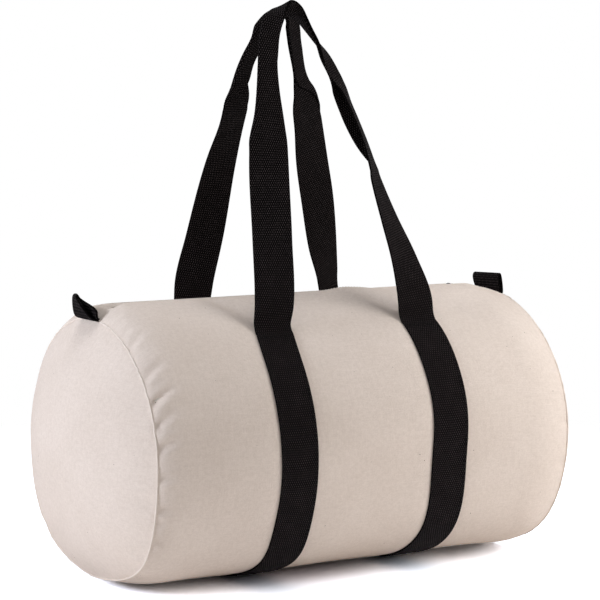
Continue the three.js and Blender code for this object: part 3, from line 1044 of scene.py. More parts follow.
@dataclass
class CanvasBody:
    """The barrel panel with its crown ends, the two end panels and their seams."""

    barrel: Barrel
    shoulder_steps: int = 8
    mouth_end_steps: int = 14
    middle_steps: int = 92
    girth_steps: int = 240
    crown_steps: int = 34
    disc_steps: int = 84
    ridge: float = 0.0008
    ridge_rise: float = 0.0003
    ripple: float = 0.0016
    ripple_reach: float = 0.016
    dome_swell: float = 0.0022
    dome_stretch: float = 1.12
    dome_waves: Pair = (4.1, 3.3)
    rim_waves: tuple[int, ...] = (9, 17, 26, 38)
    disc_seed: int = 5
    ridge_steps: tuple[int, int] = (8, 420)
    ridge_waves: tuple[int, ...] = (11, 23, 41, 67)
    ridge_unevenness: float = 0.5
    ridge_buried: Pair = (0.2, 0.9)
    ridge_overhang: float = 1 / 3
    ridge_seed: int = 11
    binding_steps: tuple[int, int] = (4, 300)
    binding_start: float = 0.0015
    binding_width: float = 0.009
    binding_depth: float = 0.0031
    binding_tilt: float = 0.0012
    binding_wave: float = 0.0006
    binding_waves: int = 40
    binding_cloth: float = 0.0009
    panel_weld: float = 0.00002
    loop_weld: float = 0.00001

    def stations(self) -> Array:
        """Places along the barrel of its rows of faces, close together near the seams.

        Returns:
            The places from left to right.
        """
        barrel = self.barrel
        middle = np.linspace(-barrel.level, barrel.level, self.middle_steps + 1)
        slope = np.linspace(barrel.level, barrel.mouth_half, self.shoulder_steps + 1)[1:]
        right = np.concatenate([slope, self.end_stations()[1:]])
        return np.concatenate([-right[::-1], middle, right])

    def end_stations(self) -> Array:
        """Places from the mouth's end to the seam."""
        return np.linspace(self.barrel.mouth_half, self.barrel.seam, self.mouth_end_steps + 1)

    def sheet(self, name: str, stations: Array, angles: Array, tuck: float = 0) -> Piece:
        """One layer of canvas over given places and angles.

        Args:
            name: Name of the piece.
            stations: Places along the barrel.
            angles: Degrees up from the front, in order.
            tuck: How far the first row is tucked in below the rest.

        Returns:
            The layer, facing out.
        """
        barrel = self.barrel

        def form(across: Array, along: Array) -> Laid:
            """Lays the sheet.

            Args:
                across: Shares across the cloth.
                along: Shares along it.

            Returns:
                The points and the cloth coordinates.
            """
            x = np.interp(across, np.linspace(0, 1, len(stations)), stations)
            angle = np.interp(along, np.linspace(0, 1, len(angles)), angles)
            cloth = np.column_stack([x, np.radians(angle) * barrel.radius])
            lift = -tuck * np.maximum(0, 1 - along * (len(angles) - 1))
            return barrel.point(x, angle, lift), cloth

        layer = cloth_grid(name, len(stations) - 1, len(angles) - 1, form)
        face_along(layer, barrel.outward)
        return layer

    def main_panel(self) -> Piece:
        """The barrel from fold line to fold line, closed over the crown beyond the mouth.

        Returns:
            The panel with its thickness.
        """
        barrel = self.barrel
        fold = barrel.angle_at(barrel.fold_depth)
        round_angles = np.linspace(fold, -180 - fold, self.girth_steps + 1)
        crown_angles = np.linspace(fold, 180 - fold, self.crown_steps + 1)
        ends = self.end_stations()
        parts = [
            self.sheet("main_panel", self.stations(), round_angles),
            self.sheet("crown_right", ends, crown_angles),
            self.sheet("crown_left", -ends[::-1], crown_angles),
        ]
        panel = join("canvas_barrel", parts, merge=self.panel_weld)
        thicken(panel, barrel.cloth, -1)
        return panel

    def end_panel(self, end: End) -> Piece:
        """Domed end panel, a disc laid from a square of cloth.

        Args:
            end: Which end of the barrel.

        Returns:
            The panel with its thickness.
        """
        barrel = self.barrel
        side = end.value
        draws = np.random.default_rng(barrel.seed + self.disc_seed + side)
        rim = barrel.section(np.array(side * barrel.seam))
        half_width, half_height, middle = (float(value) for value in rim)
        phases = draws.uniform(0, TAU, 6)

        def form(across: Array, along: Array) -> Laid:
            """Lays the disc.

            Args:
                across: Shares across the cloth.
                along: Shares along it.

            Returns:
                The points and the cloth coordinates.
            """
            a, b = 2 * across - 1, 2 * along - 1
            reach = np.sin(np.maximum(np.abs(a), np.abs(b)) * math.pi / 2)
            turn = np.arctan2(b, a)
            y = reach * barrel.spread(np.full_like(turn, side * barrel.seam), turn)
            z = reach * np.sin(turn)
            edge = (1 - reach) * half_width
            ripple = mean_waves(turn, self.rim_waves, phases)
            near_rim = np.exp(-(edge / self.ripple_reach) ** 2) * np.minimum(1, edge / barrel.seam_flat)
            slow = np.sin(self.dome_waves[0] * y + phases[4]) * np.cos(self.dome_waves[1] * z + phases[5])
            dome = barrel.bulge * (1 - reach ** barrel.fullness)
            dome += self.ripple * ripple * near_rim + self.dome_swell * slow * (1 - reach ** 2)
            flat = np.column_stack([y * half_width, z * half_height])
            points = np.column_stack([side * (barrel.seam + dome), flat[:, 0], middle + flat[:, 1]])
            return points, flat * self.dome_stretch

        panel = cloth_grid(f"canvas_end_{end.label}", self.disc_steps, self.disc_steps, form)
        face_along(panel, lambda points: np.tile([side, 0.0, 0.0], (len(points), 1)))
        thicken(panel, barrel.cloth, -1)
        return panel

    def seam_ridge(self, end: End) -> Piece:
        """The turned edge that stands up along an end seam.

        Args:
            end: Which end of the barrel.

        Returns:
            The ridge, a thin closed roll.
        """
        barrel = self.barrel
        side = end.value
        draws = np.random.default_rng(barrel.seed + self.ridge_seed + side)
        phases = draws.uniform(0, TAU, 4)

        def form(across: Array, along: Array) -> Laid:
            """Lays the roll.

            Args:
                across: Shares across the cloth.
                along: Shares along it.

            Returns:
                The points and the cloth coordinates.
            """
            angle = along * 360
            turn = np.radians(angle)
            uneven = mean_waves(turn, self.ridge_waves, phases)
            buried = smoothstep(uneven + np.sin(turn), *self.ridge_buried)
            roll = self.ridge * (1 + self.ridge_unevenness * uneven)
            spin = across * TAU
            x = np.full_like(along, side * barrel.seam)
            rise = self.ridge_rise - self.ridge * buried
            points = barrel.point(x, angle, rise + roll * np.sin(spin))
            points[:, 0] += side * (roll * np.cos(spin) + self.ridge * self.ridge_overhang)
            cloth = np.column_stack([across * TAU * self.ridge, turn * barrel.radius])
            return points, cloth

        ridge = cloth_grid(f"canvas_seam_{end.label}", *self.ridge_steps, form)
        edit_mesh(ridge, partial(bpy.ops.mesh.remove_doubles, threshold=self.loop_weld),
                  partial(bpy.ops.mesh.normals_make_consistent, inside=False))
        smooth(ridge, degrees=80)
        return ridge

    def seam_binding(self, end: End) -> Piece:
        """Bias tape round the seam allowance, inside the bag.

        Args:
            end: Which end of the barrel.

        Returns:
            The tape with its thickness.
        """
        barrel = self.barrel
        side = end.value

        def form(across: Array, along: Array) -> Laid:
            """Lays the tape.

            Args:
                across: Shares across the cloth.
                along: Shares along it.

            Returns:
                The points and the cloth coordinates.
            """
            angle = along * 360
            x = side * (barrel.seam - self.binding_start - self.binding_width * across)
            wave = self.binding_wave * np.sin(np.radians(angle) * self.binding_waves)
            lift = (wave - self.binding_tilt) * across - self.binding_depth
            cloth = np.column_stack([x, np.radians(angle) * barrel.radius])
            return barrel.point(x, angle, lift, relief=0.0), cloth

        tape = cloth_grid(f"binding_{end.label}", *self.binding_steps, form)
        edit_mesh(tape, partial(bpy.ops.mesh.remove_doubles, threshold=self.loop_weld))
        face_along(tape, lambda points: -barrel.outward(points))
        thicken(tape, self.binding_cloth, 1)
        return tape

    def build(self, canvas: Material, ridge_highlight: Material, binding: Material) -> None:
        """Makes and dresses the canvas pieces that stay on the bag.

        Args:
            canvas: Material of the panels.
            ridge_highlight: Paler copy of the canvas for the seams' turned edges, a painted highlight on
                the ridges.
            binding: Material of the seam tapes.
        """
        panel = dress(self.main_panel(), canvas)
        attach(panel, Body.BAG.value)
        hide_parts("main_panel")
        report(panel)
        for end in End:
            place = end.label
            disc = dress(self.end_panel(end), canvas)
            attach(disc, Body.BAG.value)
            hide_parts(f"{place}_end_panel")
            ridge = dress(self.seam_ridge(end), ridge_highlight)
            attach(ridge, Body.BAG.value)
            tape = dress(self.seam_binding(end), binding)
            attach(tape, Body.BAG.value)
            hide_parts(f"{place}_seam_binding")
            for piece in (disc, ridge, tape):
                report(piece)


# Webbing


@dataclass(frozen=True)
class LegRow:
    """One measured place of a handle leg, in millimetres and degrees.

    Its middle in X and Z, its turn about Z, the width that shows once the outer wing is folded
    back, and how far that wing has come round.
    """

    x: float
    z: float
    turn: float
    shown: float = 38
    curl: float = 180


FOLDED = 18.3
FRONT_LEFT_LEG = (
    LegRow(-74, 258, -8),
    LegRow(-67.5, 322, -14),
    LegRow(-63, 385, -15),
    LegRow(-60, 413, -7, 35.5),
    LegRow(-57, 432, -4, 29),
    LegRow(-54, 464, -4, 21),
    LegRow(-52, 482, -10, FOLDED),
)
FRONT_RIGHT_LEG = (
    LegRow(80, 257, 0),
    LegRow(73, 298, 20),
    LegRow(62, 335, 35),
    LegRow(52, 373, 46),
    LegRow(49, 387, 50, 34, 101),
    LegRow(46, 401, 52, 28.5, 108),
    LegRow(37, 430, 53, 24, 114),
    LegRow(30, 449, 52, 24.2, 115),
    LegRow(26, 460, 45, 22, 140),
    LegRow(20.5, 468, 27, FOLDED),
    LegRow(10, 491, 39, FOLDED),
)
REAR_LEFT_LEG = (
    LegRow(-74.5, 273, -16),
    LegRow(-68.8, 312, -9),
    LegRow(-58.8, 390, 14),
    LegRow(-51, 429, 26),
    LegRow(-49, 443, 24, 36),
    LegRow(-47, 453, 14, 27),
    LegRow(-47, 460, 8, 20.5),
    LegRow(-47, 467, 14, FOLDED),
    LegRow(-42, 487, 22, FOLDED),
)
REAR_RIGHT_LEG = (
    LegRow(79, 255, 32),
    LegRow(77, 267, 31),
    LegRow(65, 307, 15),
    LegRow(54, 348, 8),
    LegRow(42, 388, 10),
    LegRow(32, 428, 19, 37),
    LegRow(28, 443, 20, 34),
    LegRow(25, 453, 20, 29),
    LegRow(21, 461, 21, 21.5),
    LegRow(18, 470, 28, FOLDED),
    LegRow(8, 501, 28, FOLDED),
)


@dataclass(frozen=True)
class ArchRow:
    """One place of a handle's folded top: its middle in millimetres and the way its inner edge points."""

    x: float
    y: float
    z: float
    inward: Triple


FRONT_ARCH = (
    ArchRow(-44, -22, 516, (0.86, -0.50, -0.12)),
    ArchRow(-39, -20, 527, (0.81, -0.57, 0.09)),
    ArchRow(-33, -17, 533, (0.65, -0.70, 0.28)),
    ArchRow(-25, -13, 538, (0.49, -0.75, 0.44)),
    ArchRow(-17, -11, 536, (0.38, -0.80, 0.47)),
    ArchRow(-8, -12, 529, (-0.10, -0.91, 0.40)),
    ArchRow(-1, -21, 513, (-0.40, -0.90, 0.17)),
    ArchRow(4, -25, 503, (-0.49, -0.86, 0.10)),
)
REAR_ARCH = (
    ArchRow(-31, 23, 508, (0.93, 0.20, -0.20)),
    ArchRow(-25, 20, 521, (0.44, -0.86, -0.25)),
    ArchRow(-20, 18, 529, (0.10, -0.95, -0.28)),
    ArchRow(-8, 18, 531, (-0.40, -0.84, -0.36)),
    ArchRow(-1, 19, 526, (-0.80, -0.55, -0.20)),
)


@dataclass(frozen=True)
class HandleForm:
    """One carrying handle: the plane it leans in and the rows of its legs and of its folded top.

    low and high are Y and Z of two points of the leaning plane.
    """

    face: Face
    body: Body
    low: Pair
    high: Pair
    left_leg: tuple[LegRow, ...]
    arch: tuple[ArchRow, ...]
    right_leg: tuple[LegRow, ...]

    def depth(self, z: float) -> float:
        """Y of the handle's middle at a height."""
        share = (z - self.low[1]) / (self.high[1] - self.low[1])
        return self.low[0] + share * (self.high[0] - self.low[0])


FRONT_HANDLE = HandleForm(
    face=Face.FRONT, body=Body.FRONT_HANDLE, low=(-0.0826, 0.249), high=(-0.019, 0.530),
    left_leg=FRONT_LEFT_LEG, arch=FRONT_ARCH, right_leg=FRONT_RIGHT_LEG,
)
REAR_HANDLE = HandleForm(
    face=Face.REAR, body=Body.REAR_HANDLE, low=(0.080, 0.263), high=(0.019, 0.524),
    left_leg=REAR_LEFT_LEG, arch=REAR_ARCH, right_leg=REAR_RIGHT_LEG,
)


@dataclass(frozen=True)
class Selvedge:
    """One edge of an end tab's loop: its height, its swell and the pull on its top, out and along Y.

    The outer layer follows the pull by a power of its rise; the inner one only above a held share.
    """

    height: float
    swell: float
    pull: Pair
    outer_power: float = 1.0
    inner_hold: float = 0.0


@dataclass(frozen=True)
class TabForm:
    """One end tab: the end, body and foot it stands on, its step out, its swing and its two edges."""

    end: End
    body: Body
    foot: Pair
    step: float
    swing: float
    front: Selvedge
    rear: Selvedge


LEFT_TAB = TabForm(
    end=End.LEFT, body=Body.LEFT_TAB, foot=(-0.2230, 0.2512), step=0.0033, swing=-0.0006,
    front=Selvedge(height=0.0205, swell=0.0012, pull=(0.009, 0.020), outer_power=0.75, inner_hold=0.35),
    rear=Selvedge(height=0.0200, swell=0.0048, pull=(0.002, 0)),
)
RIGHT_TAB = TabForm(
    end=End.RIGHT, body=Body.RIGHT_TAB, foot=(0.2196, 0.2540), step=0, swing=0.0020,
    front=Selvedge(height=0.0180, swell=0.0022, pull=(-0.001, 0.002)),
    rear=Selvedge(height=0.0168, swell=0.0050, pull=(-0.0050, -0.001)),
)


def blurred(rows: Array, passes: int) -> Array:
    """Smooths rows along their length, with both ends held.

    Args:
        rows: Rows of numbers along a path.
        passes: How often they are smoothed.

    Returns:
        As many rows.
    """
    for _ in range(passes):
        inner = (rows[:-2] + 2 * rows[1:-1] + rows[2:]) / 4
        rows = np.concatenate([rows[:1], inner, rows[-1:]])
    return rows


def curve_through(places: Array, rows: Array, fine: Array) -> Array:
    """Smooth curve through rows of numbers.

    Args:
        places: Distance along the curve of each row.
        rows: Rows that the curve goes through.
        fine: Distances at which it is read.

    Returns:
        One row for each fine distance.
    """
    slopes = np.gradient(rows, places, axis=0)
    before = np.clip(np.searchsorted(places, fine, side="right") - 1, 0, len(places) - 2)
    gap = (places[before + 1] - places[before])[:, None]
    share = (fine - places[before])[:, None] / gap
    stay = 1 - share
    ends = stay ** 2 * (1 + 2 * share) * rows[before] + share ** 2 * (1 + 2 * stay) * rows[before + 1]
    return ends + gap * share * stay * (stay * slopes[before] - share * slopes[before + 1])


def unit(vectors: Array) -> Array:
    """Rows scaled to length one."""
    return vectors / np.linalg.norm(vectors, axis=1, keepdims=True)


@dataclass
class Webbing:
    """Girth straps, carrying handles and end tabs, all of one webbing."""

    barrel: Barrel
    width: float = 0.038
    thickness: float = 0.0017
    lift: float = 0.0002
    stitch_angle: float = 53
    lead_angle: float = 2.8
    lead_lift: float = 0.0022
    lead_share: float = 0.3
    step: float = 0.0022
    strap_steps: int = 14
    fold_radius: float = 0.0012
    selvedge: float = 0.0005
    strap_stitch: Stitch = Stitch(length=0.0026, pitch=0.0036, thread=0.0006)
    strap_stitch_inset: float = 0.003
    handle_stitch: Stitch = Stitch(length=0.0028, pitch=0.0036, thread=0.0009)
    handle_stitch_drops: Pair = (0.9, 2.1)
    handle_held: Pair = (0.0866, 0.2392)
    handle_free: Pair = (0.0790, 0.2650)
    tab_steps: tuple[int, int] = (14, 44)
    tab_length: float = 0.045
    tab_roundness: float = 0.7
    tab_root: float = 0.06
    sewn_start: float = 0.001
    sewn_end: float = 0.008
    lean: tuple[tuple[Face, End, float], ...] = (
        (Face.FRONT, End.LEFT, 0.0065),
        (Face.FRONT, End.RIGHT, 0.001),
        (Face.REAR, End.LEFT, 0.005),
        (Face.REAR, End.RIGHT, 0.005),
    )
    lean_start: float = 12
    lean_power: float = 2.7
    section_steps: int = 48
    easing: int = 6

    def inwards(self, face: Face, end: End) -> float:
        """How far a strap has leaned towards the middle at its stitch line."""
        return next(amount for side, place, amount in self.lean if (side, place) == (face, end))

    def strap_middle(self, end: End, angle: Array) -> Array:
        """Middle of a girth strap in X, which leans inwards near its stitch lines.

        Args:
            end: Which of the two straps.
            angle: Degrees up from the front, negative under the base and up the rear.

        Returns:
            X at each angle.
        """
        climb = self.stitch_angle - self.lean_start
        front = np.clip((angle - self.lean_start) / climb, 0, 1) ** self.lean_power
        rear = np.clip((-180 - self.lean_start - angle) / climb, 0, 1) ** self.lean_power
        shift = front * self.inwards(Face.FRONT, end) + rear * self.inwards(Face.REAR, end)
        return end.value * (self.barrel.strap_offset - shift)

    def handle_foot(self, face: Face, end: End) -> float:
        """X of the middle of a handle's leg at its stitch line."""
        return end.value * (self.barrel.strap_offset - self.inwards(face, end))

    @property
    def last_angle(self) -> float:
        """Angle of a strap's rear stitch line, counted on under the base."""
        return -180 - self.stitch_angle

    @property
    def strap_length(self) -> float:
        """Length of a girth strap."""
        return math.radians(self.stitch_angle - self.last_angle) * self.barrel.radius

    def finish_edges(self, piece: Piece, offset: float) -> None:
        """Gives a layer the webbing's thickness and rounds its selvedges.

        Args:
            piece: One layer of faces.
            offset: Where the thickness goes: 1 is out and 0 is to both sides.
        """
        apply_modifier(piece, "SOLIDIFY", thickness=self.thickness, offset=offset)
        soften(piece, self.selvedge, segments=2, degrees=60)
        smooth(piece, degrees=50)

    def girth_strap(self, end: End) -> Piece:
        """Strap sewn round the barrel from the front stitch line under the base to the rear one.

        Args:
            end: Which of the two straps.

        Returns:
            The strap with its thickness.
        """
        barrel = self.barrel

        def form(across: Array, along: Array) -> Laid:
            """Lays the strap.

            Args:
                across: Shares across the cloth.
                along: Shares along it.

            Returns:
                The points and the cloth coordinates.
            """
            angle = self.stitch_angle + (self.last_angle - self.stitch_angle) * along
            x = self.strap_middle(end, angle) + (across - 0.5) * self.width
            cloth = np.column_stack([across * self.width, np.radians(angle) * barrel.radius])
            return barrel.point(x, angle, self.lift), cloth

        along_steps = int(self.strap_length / self.step)
        strap = cloth_grid(f"girth_strap_{end.label}", self.strap_steps, along_steps, form)
        face_along(strap, barrel.outward)
        self.finish_edges(strap, 1)
        return strap

    def strap_stitches(self, end: End) -> Piece:
        """Two rows of stitches that hold a strap down, one along each selvedge.

        Args:
            end: Which of the two straps.

        Returns:
            Both rows as one piece.
        """
        barrel = self.barrel
        rows = []
        for edge in (-1, 1):
            inset = edge * (self.width / 2 - self.strap_stitch_inset)

            def placing(along: Array, aside: Array, up: Array) -> Array:
                """Points of the row along one selvedge.

                Args:
                    along: Distances along the row.
                    aside: Distances across it.
                    up: Distances out from the webbing.

                Returns:
                    One row of x, y and z for each.
                """
                angle = self.stitch_angle - np.degrees(along / barrel.radius)
                x = self.strap_middle(end, angle) + inset + aside
                return barrel.point(x, angle, self.lift + self.thickness + up)

            rows.append(stitch_row("strap_row", self.strap_length, self.strap_stitch, placing))
        return join(f"strap_stitches_{end.label}", rows)

    @property
    def folded_width(self) -> float:
        """Width of the webbing folded in half, round the fold."""
        return self.width / 2 - (math.pi / 2 - 1) * self.fold_radius

    def leg_rows(self, form: HandleForm, end: End) -> list[list[float]]:
        """Places of one leg, from its stitch line up.

        Args:
            form: The handle.
            end: Its left or right leg.

        Returns:
            Rows of middle, direction towards the loop's inside, shown width and curl.
        """
        barrel = self.barrel
        inward = -end.value
        foot = self.handle_foot(form.face, end)
        halfway = (self.lead_angle / 2, self.lead_lift * self.lead_share)
        lead = ((0.0, 0.0), halfway, (self.lead_angle, self.lead_lift))
        rows = []
        for rise, lift in lead:
            angle = form.face.angle(self.stitch_angle + rise)
            height = self.lift + self.thickness / 2 + lift
            middle = barrel.point(np.array([foot]), np.array([angle]), height)[0]
            rows.append([*middle, inward, 0, 0, self.width, math.pi])
        for row in form.left_leg if end is End.LEFT else form.right_leg:
            turn = math.radians(row.turn)
            height = row.z * MM
            rows.append([row.x * MM, form.depth(height), height, inward * math.cos(turn),
                         inward * math.sin(turn), 0, row.shown * MM, math.radians(row.curl)])
        return rows

    def handle_rows(self, form: HandleForm) -> Array:
        """Places of a handle from its left stitch line over the top to its right one.

        Args:
            form: The handle.

        Returns:
            Rows of middle, direction towards the loop's inside, shown width and curl.
        """
        arch = [[row.x * MM, row.y * MM, row.z * MM, *row.inward, self.folded_width, math.pi]
                for row in form.arch]
        left, right = self.leg_rows(form, End.LEFT), self.leg_rows(form, End.RIGHT)
        return np.array([*left, *arch, *right[::-1]])

    def folded_section(self, across: Array, shown: Array, curl: Array) -> Laid:
        """Webbing section with its outer wing rolled back over the rest.

        Args:
            across: Shares of the width, from the inner selvedge to the outer one.
            shown: Width that shows of the section.
            curl: How far the wing has come round, in radians.

        Returns:
            Distances towards the loop's inside and out of the bag, about the section's own middle.
        """
        radius = self.fold_radius
        full = self.width / 2 + math.pi / 2 * radius
        wing = np.maximum(self.width - shown, 0) * full / (self.width - self.folded_width)
        start = self.width - wing
        turn = np.minimum(curl, wing / radius)
        place = across * self.width
        bent = np.clip((place - start) / radius, 0, turn)
        beyond = np.maximum(0, place - start - turn * radius)
        reach = np.minimum(place, start) + radius * np.sin(bent) + beyond * np.cos(turn)
        depth = radius * (1 - np.cos(bent)) + beyond * np.sin(turn)
        rest = np.maximum(0, wing - turn * radius)
        widest = start + radius * np.sin(np.minimum(turn, math.pi / 2)) + rest * np.maximum(0, np.cos(turn))
        return widest / 2 - reach, radius * (1 - np.cos(turn)) / 2 - depth

    def handle(self, form: HandleForm) -> Piece:
        """Carrying handle, folded lengthwise into a grip at the top.

        Args:
            form: The handle.

        Returns:
            The handle with its thickness.
        """
        rows = self.handle_rows(form)
        gaps = np.linalg.norm(np.diff(rows[:, MIDDLE], axis=0), axis=1)
        places = np.concatenate([[0], np.cumsum(gaps)])
        count = int(places[-1] / self.step)
        fine = np.linspace(0, places[-1], count + 1)
        path = blurred(curve_through(places, rows, fine), self.easing)
        along = unit(np.gradient(path[:, MIDDLE], axis=0))
        inward = path[:, INWARD]
        inward = unit(inward - np.sum(inward * along, axis=1, keepdims=True) * along)
        outward = np.cross(along, inward)
        outward *= math.copysign(1, form.face.value * np.sum(outward[:, 1]))

        def lay(across: Array, share: Array) -> Laid:
            """Lays the handle.

            Args:
                across: Shares across the cloth.
                share: Shares along it.

            Returns:
                The points and the cloth coordinates.
            """
            row = np.rint(share * count).astype(int)
            into, out = self.folded_section(across, path[row, SHOWN], path[row, CURL])
            points = path[row, MIDDLE] + inward[row] * into[:, None] + outward[row] * out[:, None]
            return points, np.column_stack([across * self.width, fine[row]])

        piece = cloth_grid(f"handle_{form.face.label}", self.section_steps, count, lay)
        self.finish_edges(piece, 0)
        return piece

    def handle_stitches(self, face: Face) -> Piece:
        """Stitch lines across the webbing where a handle leaves its two straps.

        Args:
            face: Front or rear handle.

        Returns:
            The rows of both legs as one piece.
        """
        barrel = self.barrel
        rows = []
        for end in End:
            middle = self.handle_foot(face, end)
            for drop in self.handle_stitch_drops:

                def placing(along: Array, aside: Array, up: Array) -> Array:
                    """Points of the row across the webbing.

                    Args:
                        along: Distances along the row.
                        aside: Distances across it.
                        up: Distances out from the webbing.

                    Returns:
                        One row of x, y and z for each.
                    """
                    x = middle + along - self.width / 2
                    angle = self.stitch_angle - drop + np.degrees(aside / barrel.radius)
                    return barrel.point(x, face.angle(angle), self.lift + self.thickness + up)

                rows.append(stitch_row("handle_row", self.width, self.handle_stitch, placing))
        return join(f"handle_stitches_{face.label}", rows)

    def end_tab(self, form: TabForm) -> Piece:
        """Loop of webbing that stands on an end seam.

        Args:
            form: Where it stands and how its two edges run.

        Returns:
            The tab with its thickness.
        """
        side = form.end.value
        half = self.width / 2

        def edge(selvedge: Selvedge, end_y: float, along: Array) -> Array:
            """Points of one selvedge, up its outer layer and down its inner one.

            Args:
                selvedge: The edge's form.
                end_y: Y of its foot.
                along: Shares along the loop.

            Returns:
                One row of x, y and z for each share.
            """
            spin = along * TAU
            rise = (1 - np.cos(spin)) / 2
            held = smoothstep(rise, selvedge.inner_hold, 1)
            follow = np.where(along < 0.5, rise ** selvedge.outer_power, held)
            swing = np.sin(spin)
            parted = selvedge.swell / 2 * np.sign(swing) * np.abs(swing) ** self.tab_roundness
            stepped = form.step * (1 - np.exp(-rise / self.tab_root))
            out = parted + stepped + selvedge.pull[0] * follow - end_y / self.width * form.swing
            return np.column_stack([form.foot[0] + side * out, end_y + selvedge.pull[1] * follow,
                                    form.foot[1] + selvedge.height * rise])

        def lay(across: Array, along: Array) -> Laid:
            """Lays the loop.

            Args:
                across: Shares across the cloth.
                along: Shares along it.

            Returns:
                The points and the cloth coordinates.
            """
            front, rear = edge(form.front, -half, along), edge(form.rear, half, along)
            cloth = np.column_stack([across * self.width, along * self.tab_length])
            return front + (rear - front) * across[:, None], cloth

        tab = cloth_grid(f"end_tab_{form.end.label}", *self.tab_steps, lay)
        middle = np.array([form.foot[0], 0, form.foot[1] + form.rear.height / 2])

        def outward(points: Array) -> Array:
            """Directions away from the loop's middle, along the bag and up.

            Args:
                points: Rows of x, y and z.

            Returns:
                One direction for each point.
            """
            away = points - middle
            away[:, 1] = 0
            return away

        face_along(tab, outward)
        self.finish_edges(tab, 1)
        return tab

    def build(self, webbing: Material, thread: Material) -> None:
        """Makes and dresses every piece of webbing.

        Args:
            webbing: Material of the webbing.
            thread: Material of its stitches.
        """
        for end in End:
            strap = dress(self.girth_strap(end), webbing)
            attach(strap, Body.BAG.value)
            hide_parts(f"{end.label}_girth_strap")
            rows = dress(self.strap_stitches(end), thread)
            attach(rows, Body.BAG.value)
            report(strap)
            report(rows)
        for form in (LEFT_TAB, RIGHT_TAB):
            tab = dress(self.end_tab(form), webbing)
            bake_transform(tab)
            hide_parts(f"{form.end.label}_end_tab")
            report(tab)
        for form in (FRONT_HANDLE, REAR_HANDLE):
            handle = dress(self.handle(form), webbing)
            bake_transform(handle)
            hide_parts(f"{form.face.label}_handle")
            rows = dress(self.handle_stitches(form.face), thread)
            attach(rows, Body.BAG.value)
            report(handle)
            report(rows)


# Mouth and zip


